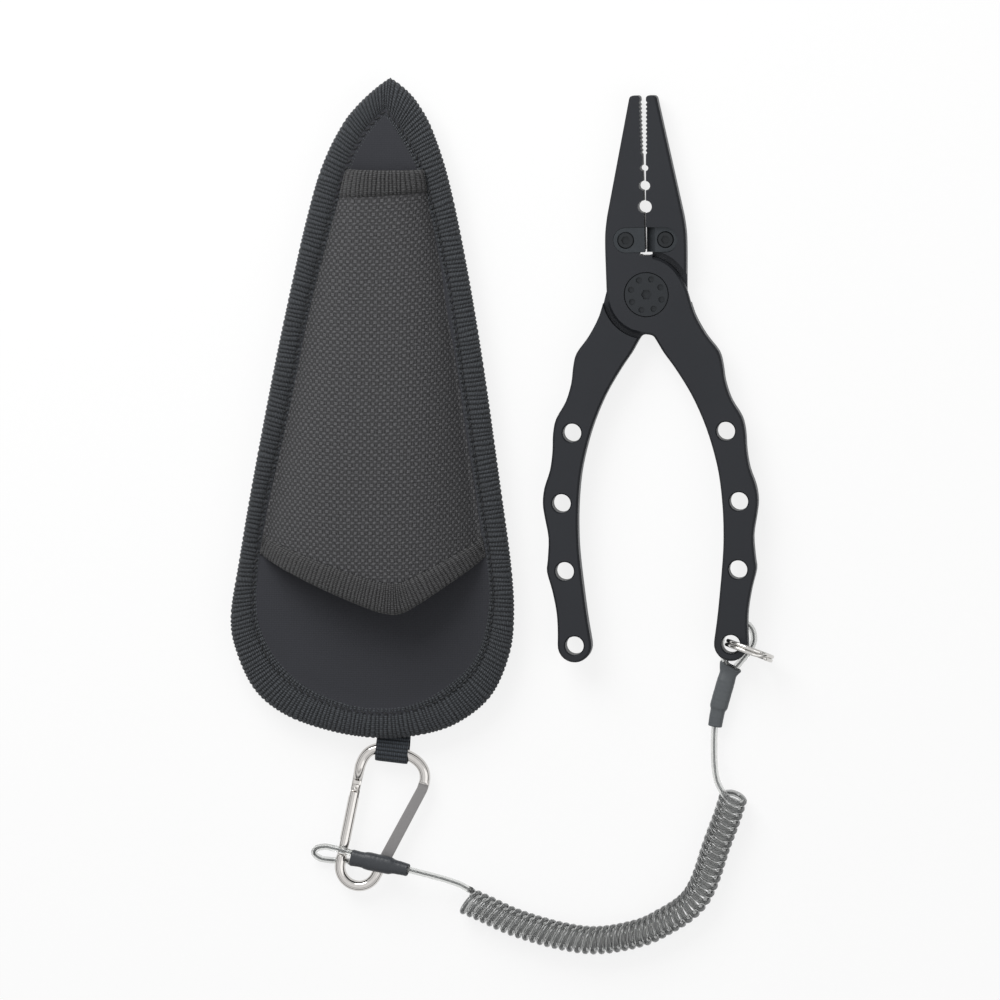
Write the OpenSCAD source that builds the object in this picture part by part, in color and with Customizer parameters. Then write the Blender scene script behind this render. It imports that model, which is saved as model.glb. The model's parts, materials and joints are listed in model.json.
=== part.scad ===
// Fishing pliers with side cutters, a coiled wire lanyard, a snap hook and a belt sheath,
// laid out flat on a table. Millimetres, z up, origin under the middle of the whole set.

/* [Pliers] */
// thickness of the pliers' plates
plate_thick = 7; // [5.5:0.1:9]
// bevel along the plates' edges
plate_bevel = 0.7; // [0.3:0.05:1]
// how far the jaws stand open as laid out, in degrees
rest_open = 1.16; // [0.6:0.02:4]
// diameter of the four holes in each handle
handle_hole = 6; // [4.5:0.1:7]
// depth of one jaw tooth
tooth_depth = 0.45; // [0.2:0.05:0.8]
// number of teeth in each jaw
tooth_count = 13; // [6:1:15]
// length of the toothed stretch of the jaws
tooth_run = 17.5; // [12:0.5:18]
// how far each jaw's edge falls back from the closing line at the tip
jaw_relief = 0.3; // [0:0.05:0.5]

/* [Pivot and cutters] */
// outer diameter of the pivot sleeve
pivot_bore = 7; // [5:0.1:8]
// diameter of the pivot's screw heads
pivot_head = 14; // [11:0.1:15]
// diameter of the pivot screw's thread
pivot_thread = 4; // [3:0.1:4.5]
// thickness of the cutter blades
blade_thick = 2.25; // [1.6:0.05:2.6]
// head diameter of the blade screws
screw_head = 5.2; // [4.4:0.1:6]

/* [Lanyard] */
// diameter of the coated wire
cord_d = 2; // [1.6:0.1:2.4]
// outer diameter of the wire's coil
coil_d = 9.3; // [8:0.1:11]
// outer diameter of the split ring
ring_d = 16.5; // [15:0.1:18]
// thickness of the split ring's wire
ring_wire = 1.3; // [1:0.05:1.5]

/* [Snap hook] */
// diameter of the hook's rod
rod_d = 3.5; // [3.2:0.1:4.4]
// how far the two bends of the hook are apart
hook_span = 28.3; // [24:0.1:34]
// thickness of the flattened back of the hook
hook_flat = 2.4; // [2:0.1:3]
// diameter of the gate's hinge pin
gate_pin_d = 1.4; // [1:0.1:1.8]

/* [Sheath] */
// thickness of the padded back panel
panel_thick = 3; // [2:0.1:4]
// how far the edge tape stands proud of the panel
tape_proud = 1; // [0.6:0.1:1.4]
// height of the pocket over the panel at its mouth
pocket_rise = 15; // [10:0.5:20]
// thickness of the pocket's cloth
cloth = 1.4; // [0.8:0.1:2]
// width of the belt loop's strap
strap_wide = 38; // [25:1:44]
// widest belt that the belt loop takes
belt_wide = 45; // [35:1:55]
// thickness of the belt loop's strap
strap_thick = 1.6; // [1.2:0.1:2]
// room for the belt under the sheath
belt_room = 4.8; // [4.5:0.1:7]
// width of the small webbing loop that holds the hook
web_wide = 10.6; // [8:0.2:14]

/* [Part] */

/* [Hidden] */
$fn = 64;
// running clearance of the pivot
run = 0.05;
// free space between pieces that pass each other
air = 0.3;
// height where the two plates lap at the hub, and the space left for the washer
lap_z = plate_thick / 2;
lap_gap = 0.4;
lap_r = 14.5;
jaw_y = 64.3;
head_thick = 1.6;
// the blades: middle of the screw, half height, how far the edge stays off the closing line
blade_at = [-6.2, 17.7];
blade_half = 4;
edge_off = 0.06;
blade_low = 3;

// heights, from the table up
ring_z = ring_d / 2 + 0.75;
eye_z = 0.75 + ring_wire + 0.35 + cord_d / 2;
handle_z = eye_z + cord_d / 2 + 0.5;
plier_tilt = asin((handle_z - air) / (jaw_y + 114));
plier_at = [47.1, 63.05, air + jaw_y * sin(plier_tilt)];
plier_lean = 1.25;
hook_z = cord_d + rod_d / 2 + 0.6;
over_z = hook_z + rod_d / 2 + cord_d / 2 + 0.6;
sleeve_z = hook_z + rod_d / 2 + 3.1;
coil_z = coil_d / 2 + 0.05;
sheath_z = strap_thick + belt_room;
face_z = sheath_z + panel_thick;

// outer edge of the handle, from its end up to the hub
handle_back = [[29.82, -113.6], [29.75, -109], [30.1, -103], [31.45, -96], [33.1, -90], [32.83, -86.2],
               [32.49, -79], [33.64, -72.4], [34.27, -67.7], [33.71, -62.7], [31.86, -57], [31, -51],
               [30.75, -45], [29.69, -40.2], [26.53, -34.7], [24.68, -28.7], [24.02, -23.4],
               [22.85, -18.9], [18.9, -13.5], [15.3, -6.6], [13.1, 1.4], [11.5, 4.7]];
// inner edge of the handle, from the crotch down
handle_front = [[-0.4, -12.9], [1.7, -13.4], [2.98, -15.2], [5.15, -19], [8.81, -24.3], [13.55, -32.4],
                [17.28, -41], [19.92, -49.4], [21.85, -58.4], [22.77, -68.4], [22.89, -78],
                [22.32, -87], [20.39, -103.4], [19.03, -112]];
handle_end = [24.31, -114];
handle_holes = [[24.55, -44.8], [28.17, -67.7], [27.3, -89.8], handle_end];
jaw_back = [[-12.1, 25.5], [-12.8, 20.5], [-13, 15], [-12.95, 7], [-12.9, 0]];
// notches on the closing line: height above the pivot and radius
crimps = [[40.9, 0.95], [35.2, 1.5], [28.4, 2]];
// where the jaws' edges start to fall back
relief_from = 26;
relief_y = 13.25;

// outline of the sheath, from its point down the right side and up the left
sheath_edge = [[-36.3, 133.61], [-32.1, 131.3], [-28.9, 128.3], [-26.4, 124], [-23.1, 116],
               [-17.41, 100.21], [-11.8, 73.89], [-6.21, 40.99], [-0.61, 1.52], [2.96, -24.8],
               [3.96, -41.5], [2.44, -54.66], [-3.66, -68.32], [-14.87, -77.43], [-27.59, -81.48],
               [-41.33, -82.49], [-56.09, -80.47], [-70.86, -75.41], [-81.04, -67.31],
               [-87.15, -54.66], [-88.92, -43.02], [-86.12, -24.8], [-81.55, 1.52], [-73.91, 40.99],
               [-66.79, 73.89], [-60.16, 100.21], [-52.6, 118.6], [-49.3, 122.8], [-45.5, 126.8],
               [-41, 130.6], [-36.3, 133.61]];
// inner edge of the edge tape, the same way round
tape_edge = [[-38.27, 120.96], [-32.67, 113.37], [-27.59, 103.24], [-23, 86.04], [-18.43, 63.77],
             [-14.36, 35.43], [-8.25, -5.06], [-4.69, -30.37], [-5.2, -42.51], [-8.25, -54.15],
             [-15.38, -62.76], [-26.07, -69.34], [-38.27, -71.87], [-51.51, -70.35], [-64.23, -64.78],
             [-73.4, -56.68], [-78.48, -46.56], [-79.51, -37.45], [-79, -25.3], [-75.95, -5.06],
             [-69.33, 20.24], [-63.21, 52.63], [-56.09, 80.98], [-49.98, 103.24], [-44.38, 113.37],
             [-38.27, 120.96]];
// the pocket's two sides, from its top edge down to its mouth
pocket_left = [[-49.98, 103.24], [-55.68, 80.98], [-61.7, 57.7], [-66.28, 35.43], [-70.86, 14.17],
               [-75.44, -6.07], [-78.48, -23.28]];
pocket_right = [[-28, 103.24], [-23.41, 86.04], [-19.34, 65.79], [-15.78, 42.51], [-12.53, 20.24],
                [-8.66, -5.06], [-5.39, -25.3]];
pocket_drop = 17.5;
pocket_peak = 0.19;
pocket_tape = 0.066;
pocket_head = 0.085;
pocket_low = 5;

// middle of the belt loop on the sheath's back, and how far its strap is sewn past the belt
belt_at = [-40.39, 9.5];
strap_sewn = 18;

// the lanyard's route
eye_upper_route = [[72.88, -57.59], [71.67, -53.89], [71.47, -48.89], [73.67, -44.69], [77.67, -43.39],
                   [80.97, -45.39], [81.88, -49.39], [80.27, -52.99], [77.67, -56.39], [76.08, -58.39]];
sleeve_upper_route = [[74.38, -57.89], [73.41, -60.85], [70.38, -71.67], [69.25, -77.59]];
lead_upper_route = [[69.16, -78.09], [68.99, -83.85], [69.24, -89.91], [69.96, -94.96], [71.61, -98.5]];
coil_route = [[75.61, -100.05], [73.55, -106.84], [69.92, -116.74], [65.8, -129.16], [61.15, -136.39],
              [52.89, -142.06], [44.62, -145.93], [31.2, -148.45], [18.79, -147.15], [4.33, -143.15],
              [-5.99, -138.65], [-12.2, -135.95]];
lead_lower_route = [[-30.79, -126.1], [-21.21, -128.4], [-14.03, -130.4], [-10.2, -132.4]];
sleeve_lower_route = [[-49.28, -122.6], [-42.78, -123.8], [-33.78, -125.6], [-30.79, -126.3]];
// the lower eye goes over the hook's rod and back under it
under_z = cord_d / 2 + 0.3;
eye_lower_route = [[-49.33, -121, sleeve_z - 0.6], [-51.73, -120.4, over_z + 0.3],
                   [-54.73, -119.8, over_z], [-58.33, -119.4, over_z - 1.2],
                   [-61.33, -120.3, hook_z + 0.6], [-62.13, -122.2, hook_z - 1],
                   [-60.33, -123.9, under_z + 1], [-57.33, -124.5, under_z + 0.1],
                   [-54.33, -124.6, under_z], [-51.95, -124.5, under_z + 0.9],
                   [-50.45, -124.4, under_z + 2.9], [-49.95, -124.4, under_z + 4.9],
                   [-49, -124.4, sleeve_z - 1.7]];

// the hook is two round bends joined by straight rods
hook_at = [-47.39, -125.61];
hook_turn = -19.8;
bend_big = 10.3;
bend_small = 6.25;
rod_lean = asin((bend_big - bend_small) / hook_span);
rod_run = sqrt(pow(hook_span, 2) - pow(bend_big - bend_small, 2));
// the webbing loop: where it is sewn, which way it runs, and how far out it reaches round the rod
web_at = [-34.7, -72];
web_turn = 84;
big_bend_at = hook_at + hook_span * [-sin(hook_turn), cos(hook_turn)];
web_end = (big_bend_at - web_at) * [cos(web_turn), sin(web_turn)] + bend_big - 0.95;
gate_foot = 5.2;
gate_head = 1.4;
tongue = 1.4;
fork = tongue + 0.6;

function unit(v) = v / norm(v);
function knot(p, i) = p[max(0, min(len(p) - 1, i))];
function blend(a, b, c, d, t) =
    (2 * b + (c - a) * t + (2 * a - 5 * b + 4 * c - d) * t * t + (3 * b - a - 3 * c + d) * t * t * t) / 2;
// smooth curve through the points of p, n steps to a stretch
function curve(p, n) = concat(
    [for (i = [0 : len(p) - 2], k = [0 : n - 1])
        blend(knot(p, i - 1), p[i], p[i + 1], knot(p, i + 2), k / n)],
    [p[len(p) - 1]]);
// the point at share t along such a curve
function along(p, t) =
    let (s = t * (len(p) - 1), i = max(0, min(len(p) - 2, floor(s))))
    blend(knot(p, i - 1), p[i], p[i + 1], knot(p, i + 2), s - i);
function arc(at, r, from, to, n) =
    [for (i = [0 : n]) at + r * [cos(from + (to - from) * i / n), sin(from + (to - from) * i / n)]];
function left_of(a, b) = let (d = unit(b - a)) [-d[1], d[0]];
// a closed outline moved inwards (to the left of its direction) by w
function inset(p, w) =
    let (n = len(p))
    [for (i = [0 : n - 1])
        let (m = left_of(p[(i + n - 1) % n], p[i]), k = left_of(p[i], p[(i + 1) % n]), s = unit(m + k))
        p[i] + s * w / max(0.5, s * k)];
// middles of the sides of a closed outline
function midway(p) = [for (i = [0 : len(p) - 1]) (p[i] + p[(i + 1) % len(p)]) / 2];
function flip(p) = [for (i = [len(p) - 1 : -1 : 0]) p[i]];
function open_loop(p) = [for (i = [0 : len(p) - 2]) p[i]];
function lift(p, z) = [for (q = p) [q[0], q[1], z]];
function ramp(p, from, to) =
    [for (i = [0 : len(p) - 1]) [p[i][0], p[i][1], from + (to - from) * i / (len(p) - 1)]];

// outline of one half: jaw on the left, handle on the right, closed jaws
lever_outline = concat(
    [[4, 14], [5, 20], [5, jaw_y - 2], [5, jaw_y]],
    arc([-2.7, jaw_y - 1.2], 1.2, 90, 167, 4),
    curve(jaw_back, 3),
    [for (a = [192 : 12 : 260]) 12.9 * [cos(a), sin(a)]],
    curve(handle_front, 3),
    arc(handle_end, 5.5, 172, 350, 13),
    curve(handle_back, 3),
    arc([0, 0], 12.4, 24, 80, 7));
sheath_outline = flip(open_loop(curve(sheath_edge, 3)));
tape_outline = flip(open_loop(curve(tape_edge, 3)));
panel_outline = inset(sheath_outline, 1.2);

// walls of a solid built of rings of points, n to a ring, closed at both ends
function ring_faces(n, rings) = concat(
    [[for (i = [0 : n - 1]) n - 1 - i]],
    [for (r = [0 : rings - 2], i = [0 : n - 1])
        let (a = r * n + i, b = r * n + (i + 1) % n) each [[a, b, b + n], [a, b + n, a + n]]],
    [[for (i = [0 : n - 1]) (rings - 1) * n + i]]);

// three-sided strip along a closed outline, to take the edge off a plate's face at height z
module bevel_strip(p, z, edge, up) {
    n = len(p);
    spare = 0.2;
    out = inset(p, -spare);
    low = lift(out, z - up * (edge + spare));
    high = lift(out, z + up * spare);
    far = lift(inset(p, edge + spare), z + up * spare);
    faces = [for (i = [0 : n - 1], k = [0 : 2])
        let (j = (i + 1) % n, m = (k + 1) % 3) each [
            [k * n + i, k * n + j, m * n + j],
            [k * n + i, m * n + j, m * n + i]]];
    polyhedron(concat(low, high, far), up < 0 ? faces : [for (f = faces) flip(f)], convexity = 10);
}

// flat plate with bevelled edges
module slab(p, thick, edge) {
    middles = midway(p);
    difference() {
        linear_extrude(thick) polygon(p);
        bevel_strip(middles, thick, edge, 1);
        bevel_strip(middles, 0, edge, -1);
    }
}

// soft tube along p: w holds half width and half height at each point
module tube(p, w, sides) {
    last = len(p) - 1;
    points = [for (i = [0 : last])
        let (t = unit(p[min(last, i + 1)] - p[max(0, i - 1)]), s = unit(cross(t, [0, 0, 1])), u = cross(s, t))
        for (k = [0 : sides - 1])
            p[i] + w[i][0] * cos(360 * k / sides) * s + w[i][1] * sin(360 * k / sides) * u];
    polyhedron(points, ring_faces(sides, last + 1), convexity = 6);
}

module cord(p, d, sides) {
    tube(p, [for (q = p) [d / 2, d / 2]], sides);
}

// where the pliers lie: tips on the table, handle end raised on the ring and the lanyard's eye
module pliers() {
    translate(plier_at) rotate([-plier_tilt, 0, plier_lean]) children();
}

module half_turn(a) {
    pliers() rotate([0, 0, a * rest_open / 2]) children();
}

// how far a jaw's edge lies behind the closing line at height y
function fall_back(y) = jaw_relief * max(0, y - relief_from) / (jaw_y - relief_from);

// teeth and crimping notches along the closing line
module bite() {
    pitch = tooth_run / tooth_count;
    top = jaw_y - 1.6;
    points = [for (i = [0 : tooth_count]) [-fall_back(top - i * pitch), top - i * pitch]];
    valleys = [for (p = points) [p[0] - tooth_depth - run, p[1] - pitch / 2]];
    zigzag = [for (i = [0 : tooth_count - 1], k = [0, 1]) k == 0 ? points[i] : valleys[i]];
    linear_extrude(plate_thick + 2)
        polygon(concat([[0.4, top]], zigzag, [points[tooth_count], [0.4, top - tooth_run]]));
    for (c = crimps)
        translate([0, c[0], 0]) cylinder(r = c[1], h = plate_thick + 2);
    for (x = [-1.2, 1.2])
        translate([x, relief_y, 0]) cylinder(r = 0.6, h = plate_thick + 2);
    translate([-1.2, relief_y - 0.6, 0]) cube([2.4, 1.2, plate_thick + 2]);
}

// everything beyond a jaw's edge, with the round inner corner of its tip
module beyond_edge() {
    tip = -edge_off - jaw_relief;
    round = 0.9;
    linear_extrude(plate_thick + 2)
        polygon(concat([[6, 12.9], [-edge_off, 12.9], [-edge_off, relief_from]],
                       arc([tip - round, jaw_y - round], round, 0, 80, 5),
                       [[tip - round * 0.83, jaw_y + 1], [6, jaw_y + 1]]));
}

// a handle hole with its edges broken
module handle_bore() {
    r = handle_hole / 2;
    c = 0.4;
    rotate_extrude()
        polygon([[0, -1], [r + c + 1, -1], [r, c], [r, plate_thick - c],
                 [r + c + 1, plate_thick + 1], [0, plate_thick + 1]]);
}

// what the hub leaves free: the other plate, the pivot sleeve and the screw head
module hub_cut() {
    bore = pivot_bore / 2 + run;
    seat = pivot_head / 2 + air;
    step = plate_thick - head_thick - 0.2;
    lap = lap_z + lap_gap / 2;
    rotate_extrude()
        polygon([[0, -1], [lap_r, -1], [lap_r, lap], [bore, lap], [bore, step], [seat, step],
                 [seat, plate_thick + 1], [0, plate_thick + 1]]);
}

// one half of the pliers, as it lies on top at the hub
module lever() {
    difference() {
        slab(lever_outline, plate_thick, plate_bevel);
        translate([0, 0, -1]) beyond_edge();
        translate([0, 0, -1]) bite();
        hub_cut();
        for (h = handle_holes)
            translate(h) handle_bore();
    }
}

module turned_over() {
    translate([0, 0, plate_thick]) rotate([0, 180, 0]) children();
}

// plan of a blade, with g of play
module blade_plan(g) {
    translate(blade_at) circle(r = blade_half + g);
    translate([blade_at[0], blade_at[1] - blade_half - g])
        square([-blade_at[0] - edge_off + (g > 0 ? 2 : 0), 2 * (blade_half + g)]);
}

module blade(counter) {
    difference() {
        linear_extrude(blade_thick) blade_plan(0);
        translate([blade_at[0], blade_at[1], -1]) cylinder(d = 3.2, h = 6);
        translate([blade_at[0], blade_at[1], blade_thick - counter]) cylinder(d = screw_head + 0.3, h = 6);
    }
}

// ground edge of a blade: a wedge taken off along the closing line
module wedge(low, high) {
    translate([0, blade_at[1] + 10, 0]) rotate([90, 0, 0])
        linear_extrude(20) polygon([[-2.9, low], [1, low], [1, high]]);
}

module blade_screw(top, foot) {
    translate([blade_at[0], blade_at[1], 0]) difference() {
        union() {
            translate([0, 0, top - 1.45]) cylinder(d = screw_head, h = 1.2);
            translate([0, 0, top - 0.25]) cylinder(d1 = screw_head, d2 = screw_head - 0.5, h = 0.25);
            translate([0, 0, foot]) cylinder(d = 2.9, h = top - foot - 1);
        }
        translate([0, 0, top - 1]) cylinder(d = 2.9, h = 2, $fn = 6);
    }
}

high_z = plate_thick - blade_thick - 0.05;

module lever_front() {
    color("#36383c") half_turn(1) difference() {
        lever();
        translate([0, 0, high_z - 0.02]) linear_extrude(6) blade_plan(0.1);
        translate([blade_at[0], blade_at[1], 1]) cylinder(d = 3, h = 6);
    }
}

module lever_back() {
    color("#36383c") half_turn(-1) difference() {
        turned_over() lever();
        translate([0, 0, blade_low - 0.02]) linear_extrude(6) mirror([1, 0]) blade_plan(0.1);
        translate([-blade_at[0], blade_at[1], 0.8]) cylinder(d = 3, h = 6);
    }
}

module cutter_front() {
    color("#44474a") half_turn(1) translate([0, 0, high_z]) difference() {
        blade(1.2);
        wedge(-0.01, blade_thick * 0.8);
    }
}

module cutter_back() {
    color("#44474a") half_turn(-1) translate([0, 0, blade_low]) mirror([1, 0, 0]) difference() {
        blade(1.2);
        wedge(blade_thick + 0.01, blade_thick * 0.3);
    }
}

module cutter_screw_front() {
    color("#2c2e31") half_turn(1) blade_screw(plate_thick + 0.2, 1.2);
}

module cutter_screw_back() {
    color("#2c2e31") half_turn(-1) mirror([1, 0, 0]) blade_screw(blade_low + blade_thick + 0.25, 1);
}

// ring of blind holes for a pin key
module key_holes(z) {
    for (i = [0 : 7])
        rotate([0, 0, 27 + 45 * i]) translate([0.37 * pivot_head, 0, z]) cylinder(d = 2, h = 2);
}

module pivot_nut() {
    color("#3f4247") half_turn(-1) difference() {
        union() {
            translate([0, 0, 0.1]) cylinder(d = pivot_head, h = head_thick);
            translate([0, 0, 0.1]) cylinder(d = pivot_bore, h = plate_thick - 2.1);
        }
        translate([0, 0, 1]) cylinder(d = pivot_thread + 0.1, h = plate_thick);
        key_holes(-1);
    }
}

module pivot_bolt() {
    top = plate_thick - 0.1;
    color("#3f4247") half_turn(-1) difference() {
        union() {
            translate([0, 0, top - head_thick]) cylinder(d = pivot_head, h = head_thick);
            translate([0, 0, 1.4]) cylinder(d = pivot_thread, h = top - 2);
        }
        translate([0, 0, top - 1.3]) cylinder(d = 3.5, h = 3, $fn = 6);
        key_holes(top - 0.9);
    }
}

module pivot_washer() {
    color("#b08d57") half_turn(-1) translate([0, 0, lap_z - 0.15]) difference() {
        cylinder(r = lap_r - 4.5, h = 0.3);
        translate([0, 0, -1]) cylinder(d = pivot_bore + 0.4, h = 3);
    }
}

// place of the front half's end hole as laid out, and the way the ring hangs from it
end_turn = plier_lean + rest_open / 2;
ring_way = -19.7;
ring_tilt = 7.5;
ring_out = ring_d / 2 - 2;
end_hole = [plier_at[0] + handle_end[0] * cos(end_turn) - handle_end[1] * sin(end_turn),
            plier_at[1] + (handle_end[0] * sin(end_turn) + handle_end[1] * cos(end_turn)) * cos(plier_tilt)];

module split_ring() {
    color("#b9bbbd") translate([end_hole[0] + ring_out * cos(ring_way), end_hole[1] + ring_out * sin(ring_way), ring_z])
        rotate([90 - ring_tilt, 0, ring_way]) rotate_extrude() union() {
            translate([(ring_d - ring_wire) / 2, 0.46 * ring_wire]) circle(d = ring_wire, $fn = 32);
            translate([(ring_d - ring_wire) / 2, -0.46 * ring_wire]) circle(d = ring_wire, $fn = 32);
        }
}

module eye_upper() {
    color("#d4d6d6") cord(curve(lift(eye_upper_route, eye_z), 2), cord_d, 8);
}

// half widths and half heights of a shrunk sleeve, from its eye end to its plain end
sleeve_upper_form = [[3.5, 1.7], [2.8, 2], [2.9, 2.4], [2.85, 2.4], [2.4, 2.15], [2.3, 2.1]];
sleeve_lower_form = [[2.6, 2.1], [2.5, 2.1], [2.9, 2.4], [2.85, 2.4], [2.2, 2.1], [2, 1.9]];
sleeve_steps = [0, 0.16, 0.3, 0.72, 0.8, 1];

module sleeve(route, form, from, to) {
    path = [for (s = sleeve_steps) let (q = along(route, s)) [q[0], q[1], from + (to - from) * s]];
    difference() {
        tube(path, form, 16);
        ferrule_shape(route, from, to, 0.05);
    }
}

// pressed metal ferrule hidden in a sleeve, in the sleeve's straight middle
module ferrule_shape(route, from, to, g) {
    a = along(route, 0.36);
    b = along(route, 0.66);
    p = [a[0], a[1], from + (to - from) * 0.36];
    q = [b[0], b[1], from + (to - from) * 0.66];
    d = q - p;
    translate(p - unit(d) * g) rotate([0, acos(d[2] / norm(d)), atan2(d[1], d[0])])
        cylinder(d = 3.4 + 2 * g, h = norm(d) + 2 * g);
}

module sleeve_upper() {
    color("#4e5256") sleeve(sleeve_upper_route, sleeve_upper_form, eye_z, 2.7);
}

module ferrule_upper() {
    color("#9a9c9e") ferrule_shape(sleeve_upper_route, eye_z, 2.7, 0);
}

module lead_upper() {
    color("#d4d6d6") cord(ramp(curve(lead_upper_route, 2), 2.7, coil_z + 2.2), cord_d, 8);
}

module coil() {
    color("#7a7c7e") cord(lift(curve(coil_route, 2), coil_z), coil_d, 12);
}

module lead_lower() {
    color("#d4d6d6") cord(ramp(curve(lead_lower_route, 2), sleeve_z, coil_z + 1), cord_d, 8);
}

module sleeve_lower() {
    color("#3a3d41") sleeve(sleeve_lower_route, sleeve_lower_form, sleeve_z - 0.9, sleeve_z);
}

module ferrule_lower() {
    color("#9a9c9e") ferrule_shape(sleeve_lower_route, sleeve_z - 0.9, sleeve_z, 0);
}

module eye_lower() {
    color("#d4d6d6") cord(curve(eye_lower_route, 2), cord_d, 8);
}

// frame of the hook: small bend at the origin, big bend up the y axis
module hook() {
    translate([hook_at[0], hook_at[1], hook_z]) rotate([0, 0, hook_turn]) children();
}

// frame of the gate's rod: foot at the origin, rod up the y axis
module gate_line() {
    hook() translate([-bend_small * cos(rod_lean), -bend_small * sin(rod_lean), 0])
        rotate([0, 0, rod_lean]) children();
}

module rod(from, to) {
    translate([0, from, 0]) rotate([-90, 0, 0]) cylinder(d = rod_d, h = to - from);
}

// flat tongue of the hook's rod, rounded at its end
module tongue_to(from, to) {
    half = 0.42 * rod_d;
    linear_extrude(tongue, center = true) {
        translate([0, to]) circle(r = half);
        translate([-half, min(from, to)]) square([2 * half, abs(to - from)]);
    }
}

// middle of the hook's rod from its nose round both bends to the foot of the gate
// the big bend is a little boxier than a half circle
function boxed(x) = sign(x) * pow(abs(x), 0.8);
hook_bend_big = [for (a = [180 + rod_lean : -7 : -rod_lean - 0.1])
    sin(a) > 0 ? [bend_big * boxed(cos(a)), hook_span + bend_big * boxed(sin(a)), 0]
               : [bend_big * cos(a), hook_span + bend_big * sin(a), 0]];
hook_bend_small = [for (a = [-rod_lean : -8 : rod_lean - 180.1])
    [bend_small * cos(a), bend_small * sin(a), 0]];
hook_back = [for (s = [0.04, 0.1, 0.5, 0.8, 0.88])
    [bend_big * cos(rod_lean), hook_span - bend_big * sin(rod_lean), 0] * (1 - s)
        + [bend_small * cos(rod_lean), -bend_small * sin(rod_lean), 0] * s];
hook_stub = gate_foot - rod_d / 2 - 0.5;
hook_foot = [[-bend_small * cos(rod_lean) - hook_stub * sin(rod_lean),
              -bend_small * sin(rod_lean) + hook_stub * cos(rod_lean), 0]];
hook_path = concat(hook_bend_big, hook_back, hook_bend_small, hook_foot);
hook_form = concat(
    [for (p = hook_bend_big) [rod_d, rod_d] / 2],
    [[rod_d, rod_d] / 2, [rod_d - 0.1, hook_flat] / 2, [rod_d, hook_flat] / 2, [rod_d - 0.1, hook_flat] / 2,
     [rod_d, rod_d] / 2],
    [for (p = hook_bend_small) [rod_d, rod_d] / 2],
    [[rod_d, rod_d] / 2]);

module hook_body() {
    nose = rod_run - gate_head - 1.6;
    color("#c4c6c8") {
        hook() tube(hook_path, hook_form, 16);
        gate_line() {
            difference() {
                tongue_to(hook_stub - 1, gate_foot);
                translate([0, gate_foot, -5]) cylinder(d = gate_pin_d + 0.1, h = 10);
            }
            tongue_to(rod_run + 1, nose);
            translate([0, nose, -1.5]) cylinder(d = 1.2, h = 3);
        }
    }
}

module hook_gate() {
    top = rod_run - gate_head;
    color("#d6d8da") gate_line() difference() {
        union() {
            rod(gate_foot, top);
            intersection() {
                rod(gate_foot - 3, gate_foot + 1);
                translate([0, gate_foot, -5]) cylinder(d = rod_d, h = 10);
            }
        }
        translate([-5, gate_foot - 4, -fork / 2]) cube([10, 6.6, fork]);
        translate([-5, top - 4.2, -fork / 2]) cube([10, 6, fork]);
        translate([-5, top - 2.5, -5]) cube([6, 1.8, 10]);
        translate([0, gate_foot, -5]) cylinder(d = gate_pin_d + 2 * run, h = 10);
        translate([0, gate_foot + 2, 0]) rotate([-90, 0, 0]) cylinder(d = 2, h = 13);
    }
}

module gate_pin() {
    color("#aeb0b2") gate_line() translate([0, gate_foot, -rod_d / 2 + 0.1]) cylinder(d = gate_pin_d, h = rod_d - 0.2);
}

module gate_plunger() {
    color("#8f9193") gate_line() translate([0, gate_foot + rod_d / 2 + 0.25, 0]) rotate([-90, 0, 0]) cylinder(d = 1.8, h = 3.6);
}

// small coil spring behind the plunger, as the tube that its turns fill
module gate_spring() {
    color("#8f9193") gate_line() translate([0, gate_foot + rod_d / 2 + 3.85, 0]) rotate([-90, 0, 0]) difference() {
        cylinder(d = 1.8, h = 8.9);
        translate([0, 0, -1]) cylinder(d = 1, h = 11);
    }
}

module sheath_panel() {
    color("#34363a") translate([0, 0, sheath_z]) linear_extrude(panel_thick) polygon(panel_outline);
}

module edge_tape() {
    color("#3d4043") difference() {
        translate([0, 0, sheath_z - tape_proud]) slab(sheath_outline, panel_thick + 2 * tape_proud, 1);
        translate([0, 0, sheath_z]) linear_extrude(panel_thick) polygon(panel_outline);
        translate([0, 0, sheath_z - 5]) linear_extrude(20) polygon(tape_outline);
    }
}

// a point of the pocket's inner face: u across from -1 to 1, v from its top edge to its mouth
function pocket_point(u, v) =
    let (l = along(pocket_left, v), r = along(pocket_right, v), q = l + (r - l) * (u + 1) / 2,
         swell = pow(1 - pow(min(1, abs(u) / 0.93), 2.4), 1.2),
         peak = 1.1 - sqrt(pow(u - pocket_peak, 2) + 0.0144) / (1 + abs(pocket_peak)),
         fall = pocket_drop * pow(v, 3) * max(0, peak) * (1 - pow(abs(u), 8)))
    [q[0], q[1] - fall, face_z + swell * (pocket_low + (pocket_rise - pocket_low) * v * v * (3 - 2 * v))];

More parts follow.
